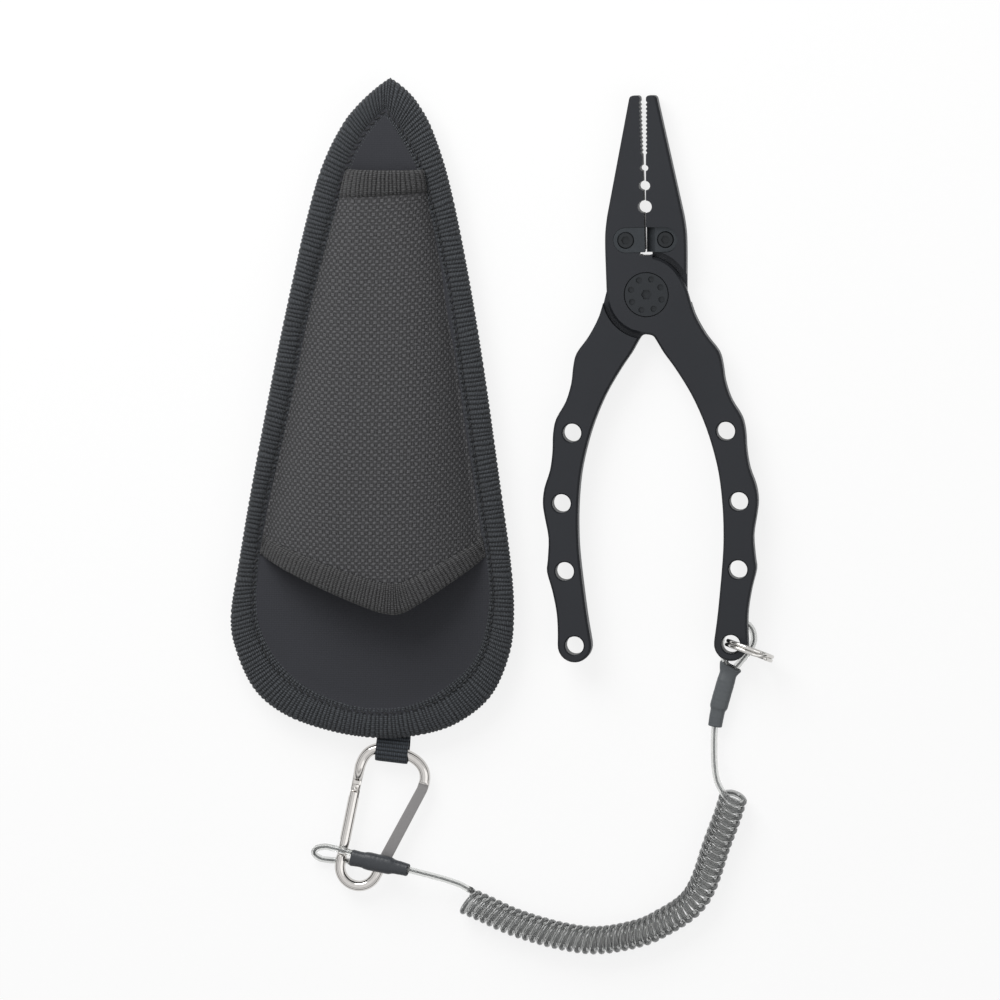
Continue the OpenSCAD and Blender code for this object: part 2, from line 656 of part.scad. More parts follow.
// a band of the pocket between two shares of its length
module pocket_band(from, to, rows, thick) {
    across = 20;
    n = across + 1;
    under = [for (j = [0 : rows], i = [0 : across]) pocket_point(2 * i / across - 1, from + (to - from) * j / rows)];
    over = [for (p = under) p + [0, 0, thick]];
    m = len(under);
    quads = [for (j = [0 : rows - 1], i = [0 : across - 1])
        [j * n + i, j * n + i + 1, (j + 1) * n + i + 1, (j + 1) * n + i]];
    rim = concat([for (i = [0 : across - 1]) i], [for (j = [0 : rows - 1]) j * n + across],
                 [for (i = [across : -1 : 1]) rows * n + i], [for (j = [rows : -1 : 1]) j * n]);
    k = len(rim);
    polyhedron(
        concat(under, over),
        concat(
            [for (q = quads) each [[q[0], q[2], q[1]], [q[0], q[3], q[2]]]],
            [for (q = quads) each [[q[0] + m, q[1] + m, q[2] + m], [q[0] + m, q[2] + m, q[3] + m]]],
            [for (i = [0 : k - 1]) each [
                [rim[i], rim[(i + 1) % k], rim[(i + 1) % k] + m],
                [rim[i], rim[(i + 1) % k] + m, rim[i] + m]]]),
        convexity = 6);
}

module pocket() {
    color("#45464a") pocket_band(pocket_head, 1 - pocket_tape, 18, cloth);
}

module pocket_top_tape() {
    color("#3d4043") pocket_band(0, pocket_head, 2, cloth + 0.9);
}

module pocket_mouth_tape() {
    color("#3d4043") pocket_band(1 - pocket_tape, 1, 2, cloth + 0.9);
}

// webbing folded round the hook's rod, both ends sewn under the edge tape
module web_loop() {
    web = 1.1;
    end = web_end;
    neck = end + 3;
    room = rod_d / 2 + 0.25;
    high = sheath_z - tape_proud;
    color("#2f3134") translate([web_at[0], web_at[1], 0]) rotate([90, 0, web_turn]) translate([0, 0, -web_wide / 2])
        linear_extrude(web_wide) difference() {
            polygon(concat([[0, high - 2 * web], [0, high], [-10, high], [neck, hook_z + room + web]],
                           arc([end, hook_z], room + web, 90, 270, 16),
                           [[neck, hook_z - room - web], [-10, high - 2 * web]]));
            polygon(concat([[-10.6, high - web], [neck, hook_z + room]],
                           arc([end, hook_z], room, 90, 270, 16), [[neck, hook_z - room]]));
        }
}

// strap on the back that a belt runs through, sewn to the panel at both ends
module belt_loop() {
    high = sheath_z;
    under = high - strap_thick;
    top = belt_at[1] + belt_wide / 2;
    foot = belt_at[1] - belt_wide / 2;
    color("#2f3134") translate([belt_at[0] - strap_wide / 2, 0, 0]) rotate([90, 0, 90]) linear_extrude(strap_wide)
        polygon([[top + strap_sewn, high], [top + strap_sewn, under], [top + 7, under], [top + 1, 0],
                 [foot - 1, 0], [foot - 7, under], [foot - strap_sewn, under], [foot - strap_sewn, high],
                 [foot - 6, high], [foot, strap_thick], [top, strap_thick], [top + 6, high]]);
}

lever_back();
lever_front();
pivot_nut();
pivot_bolt();
pivot_washer();
cutter_front();
cutter_back();
cutter_screw_front();
cutter_screw_back();
split_ring();
eye_upper();
sleeve_upper();
ferrule_upper();
lead_upper();
coil();
lead_lower();
sleeve_lower();
ferrule_lower();
eye_lower();
hook_body();
hook_gate();
gate_pin();
gate_plunger();
gate_spring();
sheath_panel();
edge_tape();
pocket();
pocket_top_tape();
pocket_mouth_tape();
web_loop();
belt_loop();
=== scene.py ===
"""Looks of a fishing pliers set: black pliers, coiled wire lanyard, snap hook and padded belt sheath.

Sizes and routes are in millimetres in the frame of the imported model. Meshes are made in metres, in place.
"""

import json
import logging
import math
from dataclasses import dataclass, replace
from enum import Enum
from typing import Any, ClassVar

import bmesh
import bpy
import numpy as np
from mathutils import Matrix

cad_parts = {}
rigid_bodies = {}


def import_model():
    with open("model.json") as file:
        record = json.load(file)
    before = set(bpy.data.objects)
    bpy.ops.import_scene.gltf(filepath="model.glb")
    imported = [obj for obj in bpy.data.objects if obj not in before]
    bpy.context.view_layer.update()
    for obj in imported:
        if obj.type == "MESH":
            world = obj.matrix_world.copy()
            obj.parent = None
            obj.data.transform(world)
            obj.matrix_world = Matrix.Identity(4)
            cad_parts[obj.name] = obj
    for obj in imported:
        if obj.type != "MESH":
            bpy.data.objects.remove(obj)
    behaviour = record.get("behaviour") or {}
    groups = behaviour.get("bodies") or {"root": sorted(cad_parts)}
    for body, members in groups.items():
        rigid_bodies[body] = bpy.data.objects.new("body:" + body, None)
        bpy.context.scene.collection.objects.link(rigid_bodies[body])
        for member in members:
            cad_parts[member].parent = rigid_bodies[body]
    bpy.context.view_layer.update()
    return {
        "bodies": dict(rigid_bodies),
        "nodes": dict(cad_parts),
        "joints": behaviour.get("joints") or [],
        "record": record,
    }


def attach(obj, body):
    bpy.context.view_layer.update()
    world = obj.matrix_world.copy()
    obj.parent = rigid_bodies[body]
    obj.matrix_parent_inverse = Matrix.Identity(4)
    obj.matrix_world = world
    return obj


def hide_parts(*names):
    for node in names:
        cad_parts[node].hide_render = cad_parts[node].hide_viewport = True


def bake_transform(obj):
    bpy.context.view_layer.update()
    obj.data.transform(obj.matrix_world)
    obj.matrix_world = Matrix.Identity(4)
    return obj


LOG = logging.getLogger("fishing_pliers")
MM = 0.001
UP = np.array([0.0, 0.0, 1.0])
# the map that woven and stranded finishes read
CLOTH_MAP = "cloth"

Array = np.ndarray
Spot = tuple[float, float, float]
Tree = bpy.types.NodeTree
Outputs = bpy.types.bpy_prop_collection
Sockets = tuple[bpy.types.NodeSocket, bpy.types.NodeSocket]
Nodes = dict[str, bpy.types.Object]


class Body(Enum):
    """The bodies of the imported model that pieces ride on."""

    ROOT = "root"
    FRONT = "front_half"
    RING = "ring"
    GATE = "gate"


def linear(code: str) -> tuple[float, float, float, float]:
    """Turns an sRGB hex value into linear red, green, blue and an alpha of one.

    Args:
        code: a value such as #36383c.

    Returns:
        Four numbers for a colour socket.
    """
    srgb = np.array([int(code[i : i + 2], 16) for i in (1, 3, 5)]) / 255.0
    value = np.where(srgb <= 0.04045, srgb / 12.92, ((srgb + 0.055) / 1.055) ** 2.4)
    return (float(value[0]), float(value[1]), float(value[2]), 1.0)


def put(tree: Tree, kind: str, feeds: dict[Any, Any] | None = None, **settings: Any) -> Outputs:
    """Adds a shader node with its settings and links.

    Args:
        tree: the node tree to add to.
        kind: the node's type name, less the words that all shader nodes share.
        feeds: input name or number to a socket that feeds it or to a plain value.
        **settings: properties of the node.

    Returns:
        The new node's outputs.
    """
    node = tree.nodes.new("ShaderNode" + kind)
    for key, value in settings.items():
        setattr(node, key, value)
    for key, value in (feeds or {}).items():
        if isinstance(value, bpy.types.NodeSocket):
            tree.links.new(value, node.inputs[key])
        else:
            node.inputs[key].default_value = value
    return node.outputs


def blank(owner: bpy.types.Material | bpy.types.World) -> Tree:
    """Switches on the nodes of a material or a world and empties its tree.

    Args:
        owner: the material or world.

    Returns:
        Its node tree.
    """
    owner.use_nodes = True
    owner.node_tree.nodes.clear()
    return owner.node_tree


def show(name: str, data: Any) -> bpy.types.Object:
    """Puts an object with the given data into the scene.

    Args:
        name: the object's name.
        data: its mesh, lamp or lens.

    Returns:
        The new object.
    """
    made = bpy.data.objects.new(name, data)
    bpy.context.scene.collection.objects.link(made)
    return made


@dataclass(frozen=True)
class Finish:
    """A grained surface: two near colours mixed by a fine noise, which also sets roughness and relief.

    Attributes:
        name: the material's common name and how its surface was made.
        dark: sRGB hex of the low places.
        light: sRGB hex of the high places.
        roughness: middle roughness.
        metallic: share of metal.
        grain: size of the grain in millimetres.
        relief: height of the grain in millimetres.
        swing: how far roughness goes either way.
        fixed: names and values of further shader sockets.
        MOTTLE: size in millimetres of the broad unevenness under the grain.
        MOTTLE_SHARE: its share in the mix of the colours.
    """

    name: str
    dark: str
    light: str
    roughness: float
    metallic: float = 0.0
    grain: float = 0.3
    relief: float = 0.02
    swing: float = 0.06
    fixed: tuple[tuple[str, float], ...] = ()
    MOTTLE: ClassVar[float] = 22.0
    MOTTLE_SHARE: ClassVar[float] = 0.35

    def pattern(self, tree: Tree) -> Sockets:
        """Makes the pattern: noise of the grain's size over a broad, faint mottle.

        Args:
            tree: the material's node tree.

        Returns:
            The share of the light colour, and the height.
        """
        place = put(tree, "TexCoord")["Object"]
        fine = put(tree, "TexNoise", {"Vector": place, "Scale": 1 / (self.grain * MM), "Detail": 3.0})[0]
        broad = put(tree, "TexNoise", {"Vector": place, "Scale": 1 / (self.MOTTLE * MM), "Detail": 2.0})[0]
        return put(tree, "Mix", {0: self.MOTTLE_SHARE, 2: fine, 3: broad})[0], fine

    def material(self) -> bpy.types.Material:
        """Builds the material from the pattern.

        Returns:
            The new material.
        """
        made = bpy.data.materials.new(self.name)
        tree = blank(made)
        share, height = self.pattern(tree)
        tint = put(tree, "Mix", {0: share, 6: linear(self.dark), 7: linear(self.light)}, data_type="RGBA")[2]
        low, high = self.roughness - self.swing, self.roughness + self.swing
        rough = put(tree, "MapRange", {"Value": share, "To Min": low, "To Max": high})[0]
        bump = put(tree, "Bump", {"Height": height, "Distance": self.relief * MM, "Strength": 1.0})[0]
        feeds = {"Base Color": tint, "Roughness": rough, "Normal": bump, "Metallic": self.metallic}
        shader = put(tree, "BsdfPrincipled", {**feeds, **dict(self.fixed)})[0]
        put(tree, "OutputMaterial", {"Surface": shader})
        return made


@dataclass(frozen=True)
class BrushedFinish(Finish):
    """A drawn or brushed metal: the noise is stretched along one axis of the object.

    Attributes:
        stretch: how many times longer than wide the marks are, along x, y and z.
    """

    stretch: tuple[float, float, float] = (1.0, 12.0, 1.0)

    def pattern(self, tree: Tree) -> Sockets:
        """Makes the pattern: noise whose coordinates are divided by the stretch.

        Args:
            tree: the material's node tree.

        Returns:
            The share of the light colour, and the height.
        """
        place = put(tree, "TexCoord")["Object"]
        fit = tuple(1 / (self.grain * MM * times) for times in self.stretch)
        drawn = put(tree, "VectorMath", {0: place, 1: fit}, operation="MULTIPLY")[0]
        marks = put(tree, "TexNoise", {"Vector": drawn, "Scale": 1.0, "Detail": 2.0})[0]
        return marks, marks


@dataclass(frozen=True)
class WovenFinish(Finish):
    """A cloth of crossing threads on the piece's own map, in metres.

    Attributes:
        across: thread spacing across, in millimetres.
        along: thread spacing along, in millimetres.
        filaments: how many filaments show in one thread.
        checker: how far every other cell stands above the ones between, from 0 to 1.
        loose: how far threads wander from their place, in millimetres.
        fuzz: how much the fibres' lightness varies, from 0 to 1.
        DRIFT: size in millimetres of the patches that wander together.
        FIBRE: size in millimetres of a tuft of fibres.
        FULL: power that makes a pad full, from 1 for a sine's top down to 0 for a flat one.
        RISE: products of the sines between which a cell of a checker goes from low to high.
        FILAMENT: height of a filament to that of a pad.
        TONE: how much lighter the threads of the one way are than those of the other.
    """

    across: float = 1.5
    along: float = 1.5
    filaments: float = 4.0
    checker: float = 0.0
    loose: float = 0.0
    fuzz: float = 0.0
    DRIFT: ClassVar[float] = 3.5
    FIBRE: ClassVar[float] = 0.6
    FULL: ClassVar[float] = 0.6
    RISE: ClassVar[tuple[float, float]] = (-0.8, 0.45)
    FILAMENT: ClassVar[float] = 0.1
    TONE: ClassVar[float] = 0.16

    def pattern(self, tree: Tree) -> Sockets:
        """Makes the pattern: a pad in each cell of the weave, with filaments that turn from cell to cell.

        The weave is the product of one sine across and one along. Its size is the pad's height, its sign
        tells the threads that run across from those that run along, and each kind carries filaments along
        its own way. Where the cloth is a checker, the height follows the signed product instead, so that
        every other pad stands high. The colour follows the height: the low places between pads are painted
        dark as their shade and the raised pads lighter as if lit. Noise stays near its middle, so what it
        drives is spread by a few times.

        Args:
            tree: the material's node tree.

        Returns:
            The share of the light colour, and the height.
        """
        spread, stray_by = 4 * self.loose * MM, 1.5 * self.fuzz
        place = put(tree, "UVMap", uv_map=CLOTH_MAP)[0]
        drift = put(tree, "TexNoise", {"Vector": place, "Scale": 1 / (self.DRIFT * MM), "Detail": 1.0})[1]
        astray = put(tree, "VectorMath", {0: drift, 1: (0.5, 0.5, 0.5)}, operation="SUBTRACT")[0]
        wander = put(tree, "VectorMath", {0: astray, "Scale": spread}, operation="SCALE")[0]
        moved = put(tree, "VectorMath", {0: place, 1: wander}, operation="ADD")[0]
        apart = put(tree, "SeparateXYZ", {0: moved})
        fibres = put(tree, "TexNoise", {"Vector": place, "Scale": 1 / (self.FIBRE * MM), "Detail": 2.0})[0]
        waves, threads = [], []
        for way, pitch in enumerate((self.across, self.along)):
            turn = put(tree, "Math", {0: apart[way], 1: math.pi / (pitch * MM)}, operation="MULTIPLY")[0]
            waves.append(put(tree, "Math", {0: turn}, operation="SINE")[0])
            fine = put(tree, "Math", {0: turn, 1: 2 * self.filaments}, operation="MULTIPLY")[0]
            threads.append(put(tree, "Math", {0: fine}, operation="SINE")[0])
        weave = put(tree, "Math", {0: waves[0], 1: waves[1]}, operation="MULTIPLY")[0]
        size = put(tree, "Math", {0: weave}, operation="ABSOLUTE")[0]
        pad = put(tree, "Math", {0: size, 1: self.FULL}, operation="POWER")[0]
        side = put(tree, "Math", {0: weave, 1: 0.0}, operation="GREATER_THAN")[0]
        grain = put(tree, "Mix", {0: side, 2: threads[0], 3: threads[1]})[0]
        rise = {0: weave, 1: self.RISE[0], 2: self.RISE[1]}
        signed = put(tree, "MapRange", rise, interpolation_type="SMOOTHSTEP")[0]
        level = put(tree, "Mix", {0: self.checker, 2: pad, 3: signed})[0]
        height = put(tree, "Math", {0: grain, 1: self.FILAMENT, 2: level}, operation="MULTIPLY_ADD")[0]
        lift = put(tree, "Math", {0: side, 1: self.TONE, 2: -self.TONE / 2}, operation="MULTIPLY_ADD")[0]
        stray = put(tree, "MapRange", {0: fibres, 3: -stray_by, 4: stray_by})[0]
        # painted shade: the colour share follows the height, dark in the low places and light on the pads
        painted_shade_and_tone = put(tree, "Math", {0: height, 1: lift}, operation="ADD")[0]
        share = put(tree, "Math", {0: painted_shade_and_tone, 1: stray}, operation="ADD", use_clamp=True)[0]
        return share, height


@dataclass(frozen=True)
class StrandFinish(Finish):
    """Twisted wire on the cord's own map: ridges that run at a slant round the cord.

    Attributes:
        lay: length of one turn of a strand, in millimetres.
        strands: number of strands.
    """

    lay: float = 5.0
    strands: float = 6.0

    def pattern(self, tree: Tree) -> Sockets:
        """Makes the pattern: a sine of the turn round the cord plus the run along it.

        Args:
            tree: the material's node tree.

        Returns:
            The share of the light colour, and the height.
        """
        apart = put(tree, "SeparateXYZ", {0: put(tree, "UVMap", uv_map=CLOTH_MAP)[0]})
        whole = 2 * math.pi * self.strands
        run = put(tree, "Math", {0: apart[0], 1: whole / (self.lay * MM)}, operation="MULTIPLY")[0]
        turn = put(tree, "Math", {0: apart[1], 1: whole, 2: run}, operation="MULTIPLY_ADD")[0]
        wave = put(tree, "Math", {0: turn}, operation="SINE")[0]
        # painted shade: the colour follows the ridges, dark in the grooves between strands
        share = put(tree, "Math", {0: wave, 1: 0.5, 2: 0.5}, operation="MULTIPLY_ADD")[0]
        return share, share


# nylon fibres scatter most of the light that glances off a cloth
CLOTH = (("Sheen Weight", 0.06), ("Specular IOR Level", 0.22))
# bead-blasted aluminium, black anodised: matt, slightly blue, with a faint sparkle
BLACK_ANODISED = Finish(
    "anodised_aluminium_blasted", "#1b1d21", "#2a2c31", 0.46, metallic=0.5, grain=0.22, relief=0.012
)
# turned aluminium, black anodised: a little smoother than the plates
BLACK_TURNED = Finish("anodised_aluminium_turned", "#1c1f22", "#2e3135", 0.34, metallic=0.5, relief=0.008)
# sintered bronze bearing washer: dull yellow brown with fine pores
BRONZE = Finish("bronze_sintered", "#8a6a3c", "#b9955c", 0.42, metallic=1.0, relief=0.01)
# dark ground tool steel: fine marks along the edge
BLADE_STEEL = BrushedFinish(
    "tool_steel_ground", "#2a2d30", "#404448", 0.38, metallic=0.7, grain=0.1, relief=0.006
)
# blackened alloy steel screw: nearly black with a soft shine
SCREW_STEEL = Finish(
    "alloy_steel_blackened", "#1c1e20", "#303336", 0.3, metallic=0.6, grain=0.25, relief=0.008
)
# nickel-plated spring steel wire: bright with a warm tinge
NICKEL = Finish("nickel_plated_wire", "#c2c0bd", "#dbd9d6", 0.13, 1.0, grain=0.6, relief=0.004, swing=0.04)
# polished steel rod: bright, a few soft marks
POLISHED = Finish("polished_steel_rod", "#c2bfbc", "#dad7d4", 0.11, 1.0, grain=0.8, relief=0.004, swing=0.05)
# pressed flat of the hook's back: satin grey
PRESSED = Finish("pressed_steel_satin", "#858383", "#939191", 0.6, metallic=0.3, grain=0.5, relief=0.006)
# plain drawn spring and pin steel: grey with fine marks
PIN_STEEL = BrushedFinish(
    "drawn_steel_pin", "#9b9da0", "#bfc1c3", 0.28, metallic=1.0, grain=0.15, relief=0.004
)
# stranded steel wire inside the jacket: slanting ridges, lighter on top and darker in the grooves between
# strands as painted shade
WIRE_CORE = StrandFinish("stranded_steel_wire", "#56585a", "#adafaf", 0.35, metallic=0.7, relief=0.03)
# clear polyurethane jacket, extruded: glossy and see-through
JACKET = Finish(
    "polyurethane_clear",
    "#dcdddb",
    "#e8e9e7",
    0.09,
    grain=1.2,
    relief=0.004,
    swing=0.03,
    fixed=(("Transmission Weight", 0.92), ("IOR", 1.46)),
)
# the same jacket in the coil, tinted darker and smoky: painted shade for the coil's stacked turns
JACKET_COIL_SHADE = replace(
    JACKET,
    name="polyurethane_coil_painted_shade",
    dark="#b0b1b0",
    light="#c4c5c4",
    roughness=0.07,
    fixed=(("Transmission Weight", 0.9), ("IOR", 1.46)),
)
# heat-shrunk tube: satin grey and black
SLEEVE_GREY = Finish("shrink_tube_grey", "#484c4f", "#575b5e", 0.5, grain=0.5)
SLEEVE_BLACK = Finish("shrink_tube_black", "#2a2d31", "#393c41", 0.45, grain=0.5)
# pressed aluminium ferrule: dull light grey
FERRULE = Finish("aluminium_pressed", "#85878a", "#a9abad", 0.4, metallic=1.0, grain=0.4, relief=0.01)
# smooth laminated cloth over foam: its fine knit, drawn coarser than it is so that it shows as faint grain
PANEL_CLOTH = WovenFinish(
    "laminated_knit_smooth",
    "#2f3034",
    "#38393e",
    0.8,
    relief=0.03,
    swing=0.05,
    fixed=CLOTH,
    across=0.55,
    along=0.7,
    filaments=1.0,
    loose=0.1,
    fuzz=0.3,
)
# ribbed nylon binding tape: one rib to a pad, threads across it; its dark is painted shade in the valleys
# and its light is painted highlight on the ribs
TAPE = WovenFinish(
    "nylon_tape_ribbed",
    "#0f1011",
    "#4c4f53",
    0.7,
    relief=0.2,
    swing=0.08,
    fixed=CLOTH,
    across=1.5,
    along=0.6,
    filaments=1.5,
    loose=0.12,
    fuzz=0.35,
)
# softer tape of the pocket's edges: finer ribs and a neutral, slightly lighter grey; its dark is painted
# shade in the valleys between ribs
TAPE_SOFT = replace(TAPE, name="nylon_tape_soft", dark="#131313", light="#545455", across=1.35)
# basket weave of thick nylon threads: every other cell stands high; its dark is painted shade in the low
# cells and gaps, its light the lit tops of the pads
BASKET = WovenFinish(
    "nylon_basket_weave",
    "#1a1a1b",
    "#5a5a5c",
    0.7,
    relief=0.5,
    swing=0.1,
    fixed=CLOTH,
    across=1.2,
    along=1.1,
    filaments=1.5,
    checker=0.5,
    loose=0.2,
    fuzz=0.3,
)
# flat nylon webbing: one cross rib to a pad; its dark is painted shade between the ribs
WEBBING = replace(
    TAPE,
    name="nylon_webbing_ribbed",
    dark="#121416",
    light="#41464c",
    roughness=0.65,
    relief=0.15,
    across=0.7,
    along=1.3,
    loose=0.0,
    fuzz=0.0,
)
# bonded nylon sewing thread: black with a dull shine
THREAD = Finish("nylon_thread_bonded", "#0f1011", "#202224", 0.55, grain=0.25, relief=0.03)


def curve(points: Array, steps: int) -> Array:
    """Smooth curve through points: a cubic from each point to the next, its slopes from the neighbours.

    Args:
        points: rows of coordinates.
        steps: samples to a stretch.

    Returns:
        Rows of coordinates, ending on the last point.
    """
    p = np.vstack([points[:1], points, points[-1:]])
    t = np.linspace(0, 1, steps, endpoint=False)[None, :, None]
    a, b, c, d = (p[i : len(p) - 3 + i, None, :] for i in range(4))
    body = (2 * b + (c - a) * t + (2 * a - 5 * b + 4 * c - d) * t**2 + (3 * b - a - 3 * c + d) * t**3) / 2
    return np.vstack([body.reshape(-1, p.shape[1]), points[-1:]])


def at_shares(line: Array, shares: Array) -> Array:
    """Points of a line at the given shares, counted by its points.

    Args:
        line: rows of coordinates.
        shares: numbers from 0 to 1, of any shape.

    Returns:
        Coordinates, with one more axis than shares.
    """
    own = np.linspace(0, 1, len(line))
    return np.stack([np.interp(shares, own, column) for column in line.T], -1)


def run_of(points: Array, axis: int = 0) -> Array:
    """Length run along a line of points, or along one way of a grid, from 0 at its start.

    Args:
        points: a line or a grid of coordinates.
        axis: which way of a grid.

    Returns:
        Lengths, one to a point.
    """
    steps = np.linalg.norm(np.diff(points, axis=axis), axis=-1)
    return np.insert(np.cumsum(steps, axis=axis), 0, 0.0, axis=axis)


def spaced(line: Array, count: int) -> Array:
    """The same line with points at even distances.

    Args:
        line: rows of coordinates.
        count: number of points.

    Returns:
        Rows of coordinates.
    """
    run = run_of(line)
    at = np.linspace(0, run[-1], count)
    return np.stack([np.interp(at, run, column) for column in line.T], -1)


def smoothed(values: Array, width: int) -> Array:
    """Running mean of a row of values, whose ends are carried on.

    Args:
        values: the row.
        width: odd number of values in a mean.

    Returns:
        A row of the same length.
    """
    return np.convolve(np.pad(values, width // 2, mode="edge"), np.full(width, 1 / width), "valid")


def eased(share: Array) -> Array:
    """A smooth step: three squares less two cubes of a share, which is kept within 0 and 1."""
    kept = np.clip(share, 0, 1)
    return kept * kept * (3 - 2 * kept)


def unit(v: Array) -> Array:
    """Vectors of length one along the last axis."""
    return v / np.maximum(np.linalg.norm(v, axis=-1, keepdims=True), 1e-9)


def slopes(line: Array) -> Array:
    """Unit directions along a line, from each point's two neighbours."""
    return unit(np.gradient(line, axis=0))


def spin(angle: float) -> Array:
    """Matrix that turns rows of points about the upward axis by an angle in radians."""
    c, s = math.cos(angle), math.sin(angle)
    return np.array([[c, s, 0], [-s, c, 0], [0, 0, 1]])


def sweep(path: Array, side: Array, top: Array, section: Array) -> Array:
    """A profile carried along a path: each point is the path plus profile x sideways plus profile y upwards.

    Args:
        path: centre points.
        side: sideways unit vectors.
        top: upward unit vectors.
        section: the profile at each point of the path, as (points, corners, 2).

    Returns:
        A grid of coordinates.
    """
    return path[:, None] + section[..., :1] * side[:, None] + section[..., 1:] * top[:, None]


def oval(wide: Array, high: Array, corners: int, square: Array | float = 2.0) -> Array:
    """Profiles between an ellipse and a box: sine and cosine raised to two over the squareness.

    Args:
        wide: half widths.
        high: half heights.
        corners: points in a profile.
        square: 2 for an ellipse, more for a boxier shape.

    Returns:
        Profiles as (points, corners, 2).
    """
    turn = np.linspace(0, 2 * np.pi, corners, endpoint=False)[None]
    power = 2.0 / np.broadcast_to(np.asarray(square, float), np.shape(wide))[:, None]
    x = np.sign(np.cos(turn)) * np.abs(np.cos(turn)) ** power * np.asarray(wide)[:, None]
    y = np.sign(np.sin(turn)) * np.abs(np.sin(turn)) ** power * np.asarray(high)[:, None]
    return np.stack([x, y], -1)


class Shell:
    """Collects grids of points as one mesh.

    Attributes:
        points: grids of points, in millimetres.
        faces: point numbers of each face.
        maps: places on the cloth map of each face's corners, in millimetres.
        count: number of points so far.
    """

    def __init__(self) -> None:
        """Starts empty."""
        self.points: list[Array] = []
        self.faces: list[list[int]] = []
        self.maps: list[Array] = []
        self.count = 0

    def grid(
        self, at: Array, cloth: Array | None = None, rows: bool = False, columns: bool = False
    ) -> "Shell":
        """Adds a grid of quads.

        Args:
            at: points as (rows, columns, 3).
            cloth: map in millimetres as (rows, columns, 2), with a row or column more where the grid closes;
                one that is short is carried on from its edge, and none gives a map of zeros.
            rows: whether the last row joins the first.
            columns: whether the last column joins the first.

        Returns:
            This shell.
        """
        high, wide = at.shape[:2]
        cloth = np.zeros((1, 1, 2)) if cloth is None else cloth
        short = (high + 1 - cloth.shape[0], wide + 1 - cloth.shape[1])
        cloth = np.pad(cloth, ((0, short[0]), (0, short[1]), (0, 0)), mode="edge")
        r, c = np.meshgrid(np.arange(high - 1 + rows), np.arange(wide - 1 + columns), indexing="ij")
        corners = [(r, c), (r, c + 1), (r + 1, c + 1), (r + 1, c)]
        index = np.stack([(i % high) * wide + j % wide for i, j in corners], -1).reshape(-1, 4) + self.count
        spots = np.stack([cloth[i, j] for i, j in corners], 2).reshape(-1, 2)
        self.points.append(at.reshape(-1, 3))
        self.faces += index.tolist()
        self.maps.append(spots)
        self.count += high * wide
        return self

    def lid(self, ring: Array) -> "Shell":
        """Closes a ring of points with one face.

        Args:
            ring: numbers of the ring's points.

        Returns:
            This shell.
        """
        self.faces.append([int(i) for i in ring])
        self.maps.append(np.zeros((len(ring), 2)))
        return self

    def tube(self, at: Array, cloth: Array | None = None) -> "Shell":
        """Adds a tube of rings and closes both its ends.

        Args:
            at: points as (rings, corners, 3).
            cloth: map in millimetres, as for a grid.

        Returns:
            This shell.
        """
        first = self.count
        rings, corners = at.shape[:2]
        self.grid(at, cloth, columns=True)
        self.lid(first + np.arange(corners)[::-1])
        return self.lid(first + (rings - 1) * corners + np.arange(corners))

    def piece(self, name: str, finish: bpy.types.Material, slot: str) -> bpy.types.Object:
        """Makes the object, smooth and with its faces turned outwards.

        Args:
            name: the object's name.
            finish: its material.
            slot: the record's material slot; not used.

        Returns:
            The new object, in place.
        """
        mesh = bpy.data.meshes.new(name)
        mesh.from_pydata((np.vstack(self.points) * MM).tolist(), [], self.faces)
        layer = mesh.uv_layers.new(name=CLOTH_MAP)
        layer.data.foreach_set("uv", (np.vstack(self.maps) * MM).astype(np.float32).ravel())
        work = bmesh.new()
        work.from_mesh(mesh)
        bmesh.ops.recalc_face_normals(work, faces=work.faces)
        work.to_mesh(mesh)
        work.free()
        mesh.polygons.foreach_set("use_smooth", np.ones(len(mesh.polygons), bool))
        mesh.materials.append(finish)
        made = show(name, mesh)
        LOG.info("%s: %d faces", name, len(mesh.polygons))
        return made


def thick_sheet(over: Array, under: Array, cloth: Array) -> Shell:
    """A closed sheet: the upper grid, the lower grid and a rim that joins their edges.

    Each row of the new grid runs across the upper side and back across the lower one, and the two end rows
    are closed by strips between the sides.

    Args:
        over: upper points as (rows, columns, 3).
        under: lower points, the same shape.
        cloth: map in millimetres as (rows, columns, 2).

    Returns:
        The sheet's shell.
    """
    rows, columns = over.shape[:2]
    flat = np.concatenate([cloth, cloth[:, ::-1], cloth[:, :1]], 1)
    shell = Shell().grid(np.concatenate([over, under[:, ::-1]], 1), flat, columns=True)
    c = np.arange(columns - 1)
    for row in (0, rows - 1):
        base = row * 2 * columns
        back = base + 2 * columns - 1 - c
        shell.faces += np.stack([base + c, base + c + 1, back - 1, back], -1).tolist()
        spots = np.stack([flat[row, c], flat[row, c + 1], flat[row, c + 1], flat[row, c]], 1)
        shell.maps.append(spots.reshape(-1, 2))
    return shell


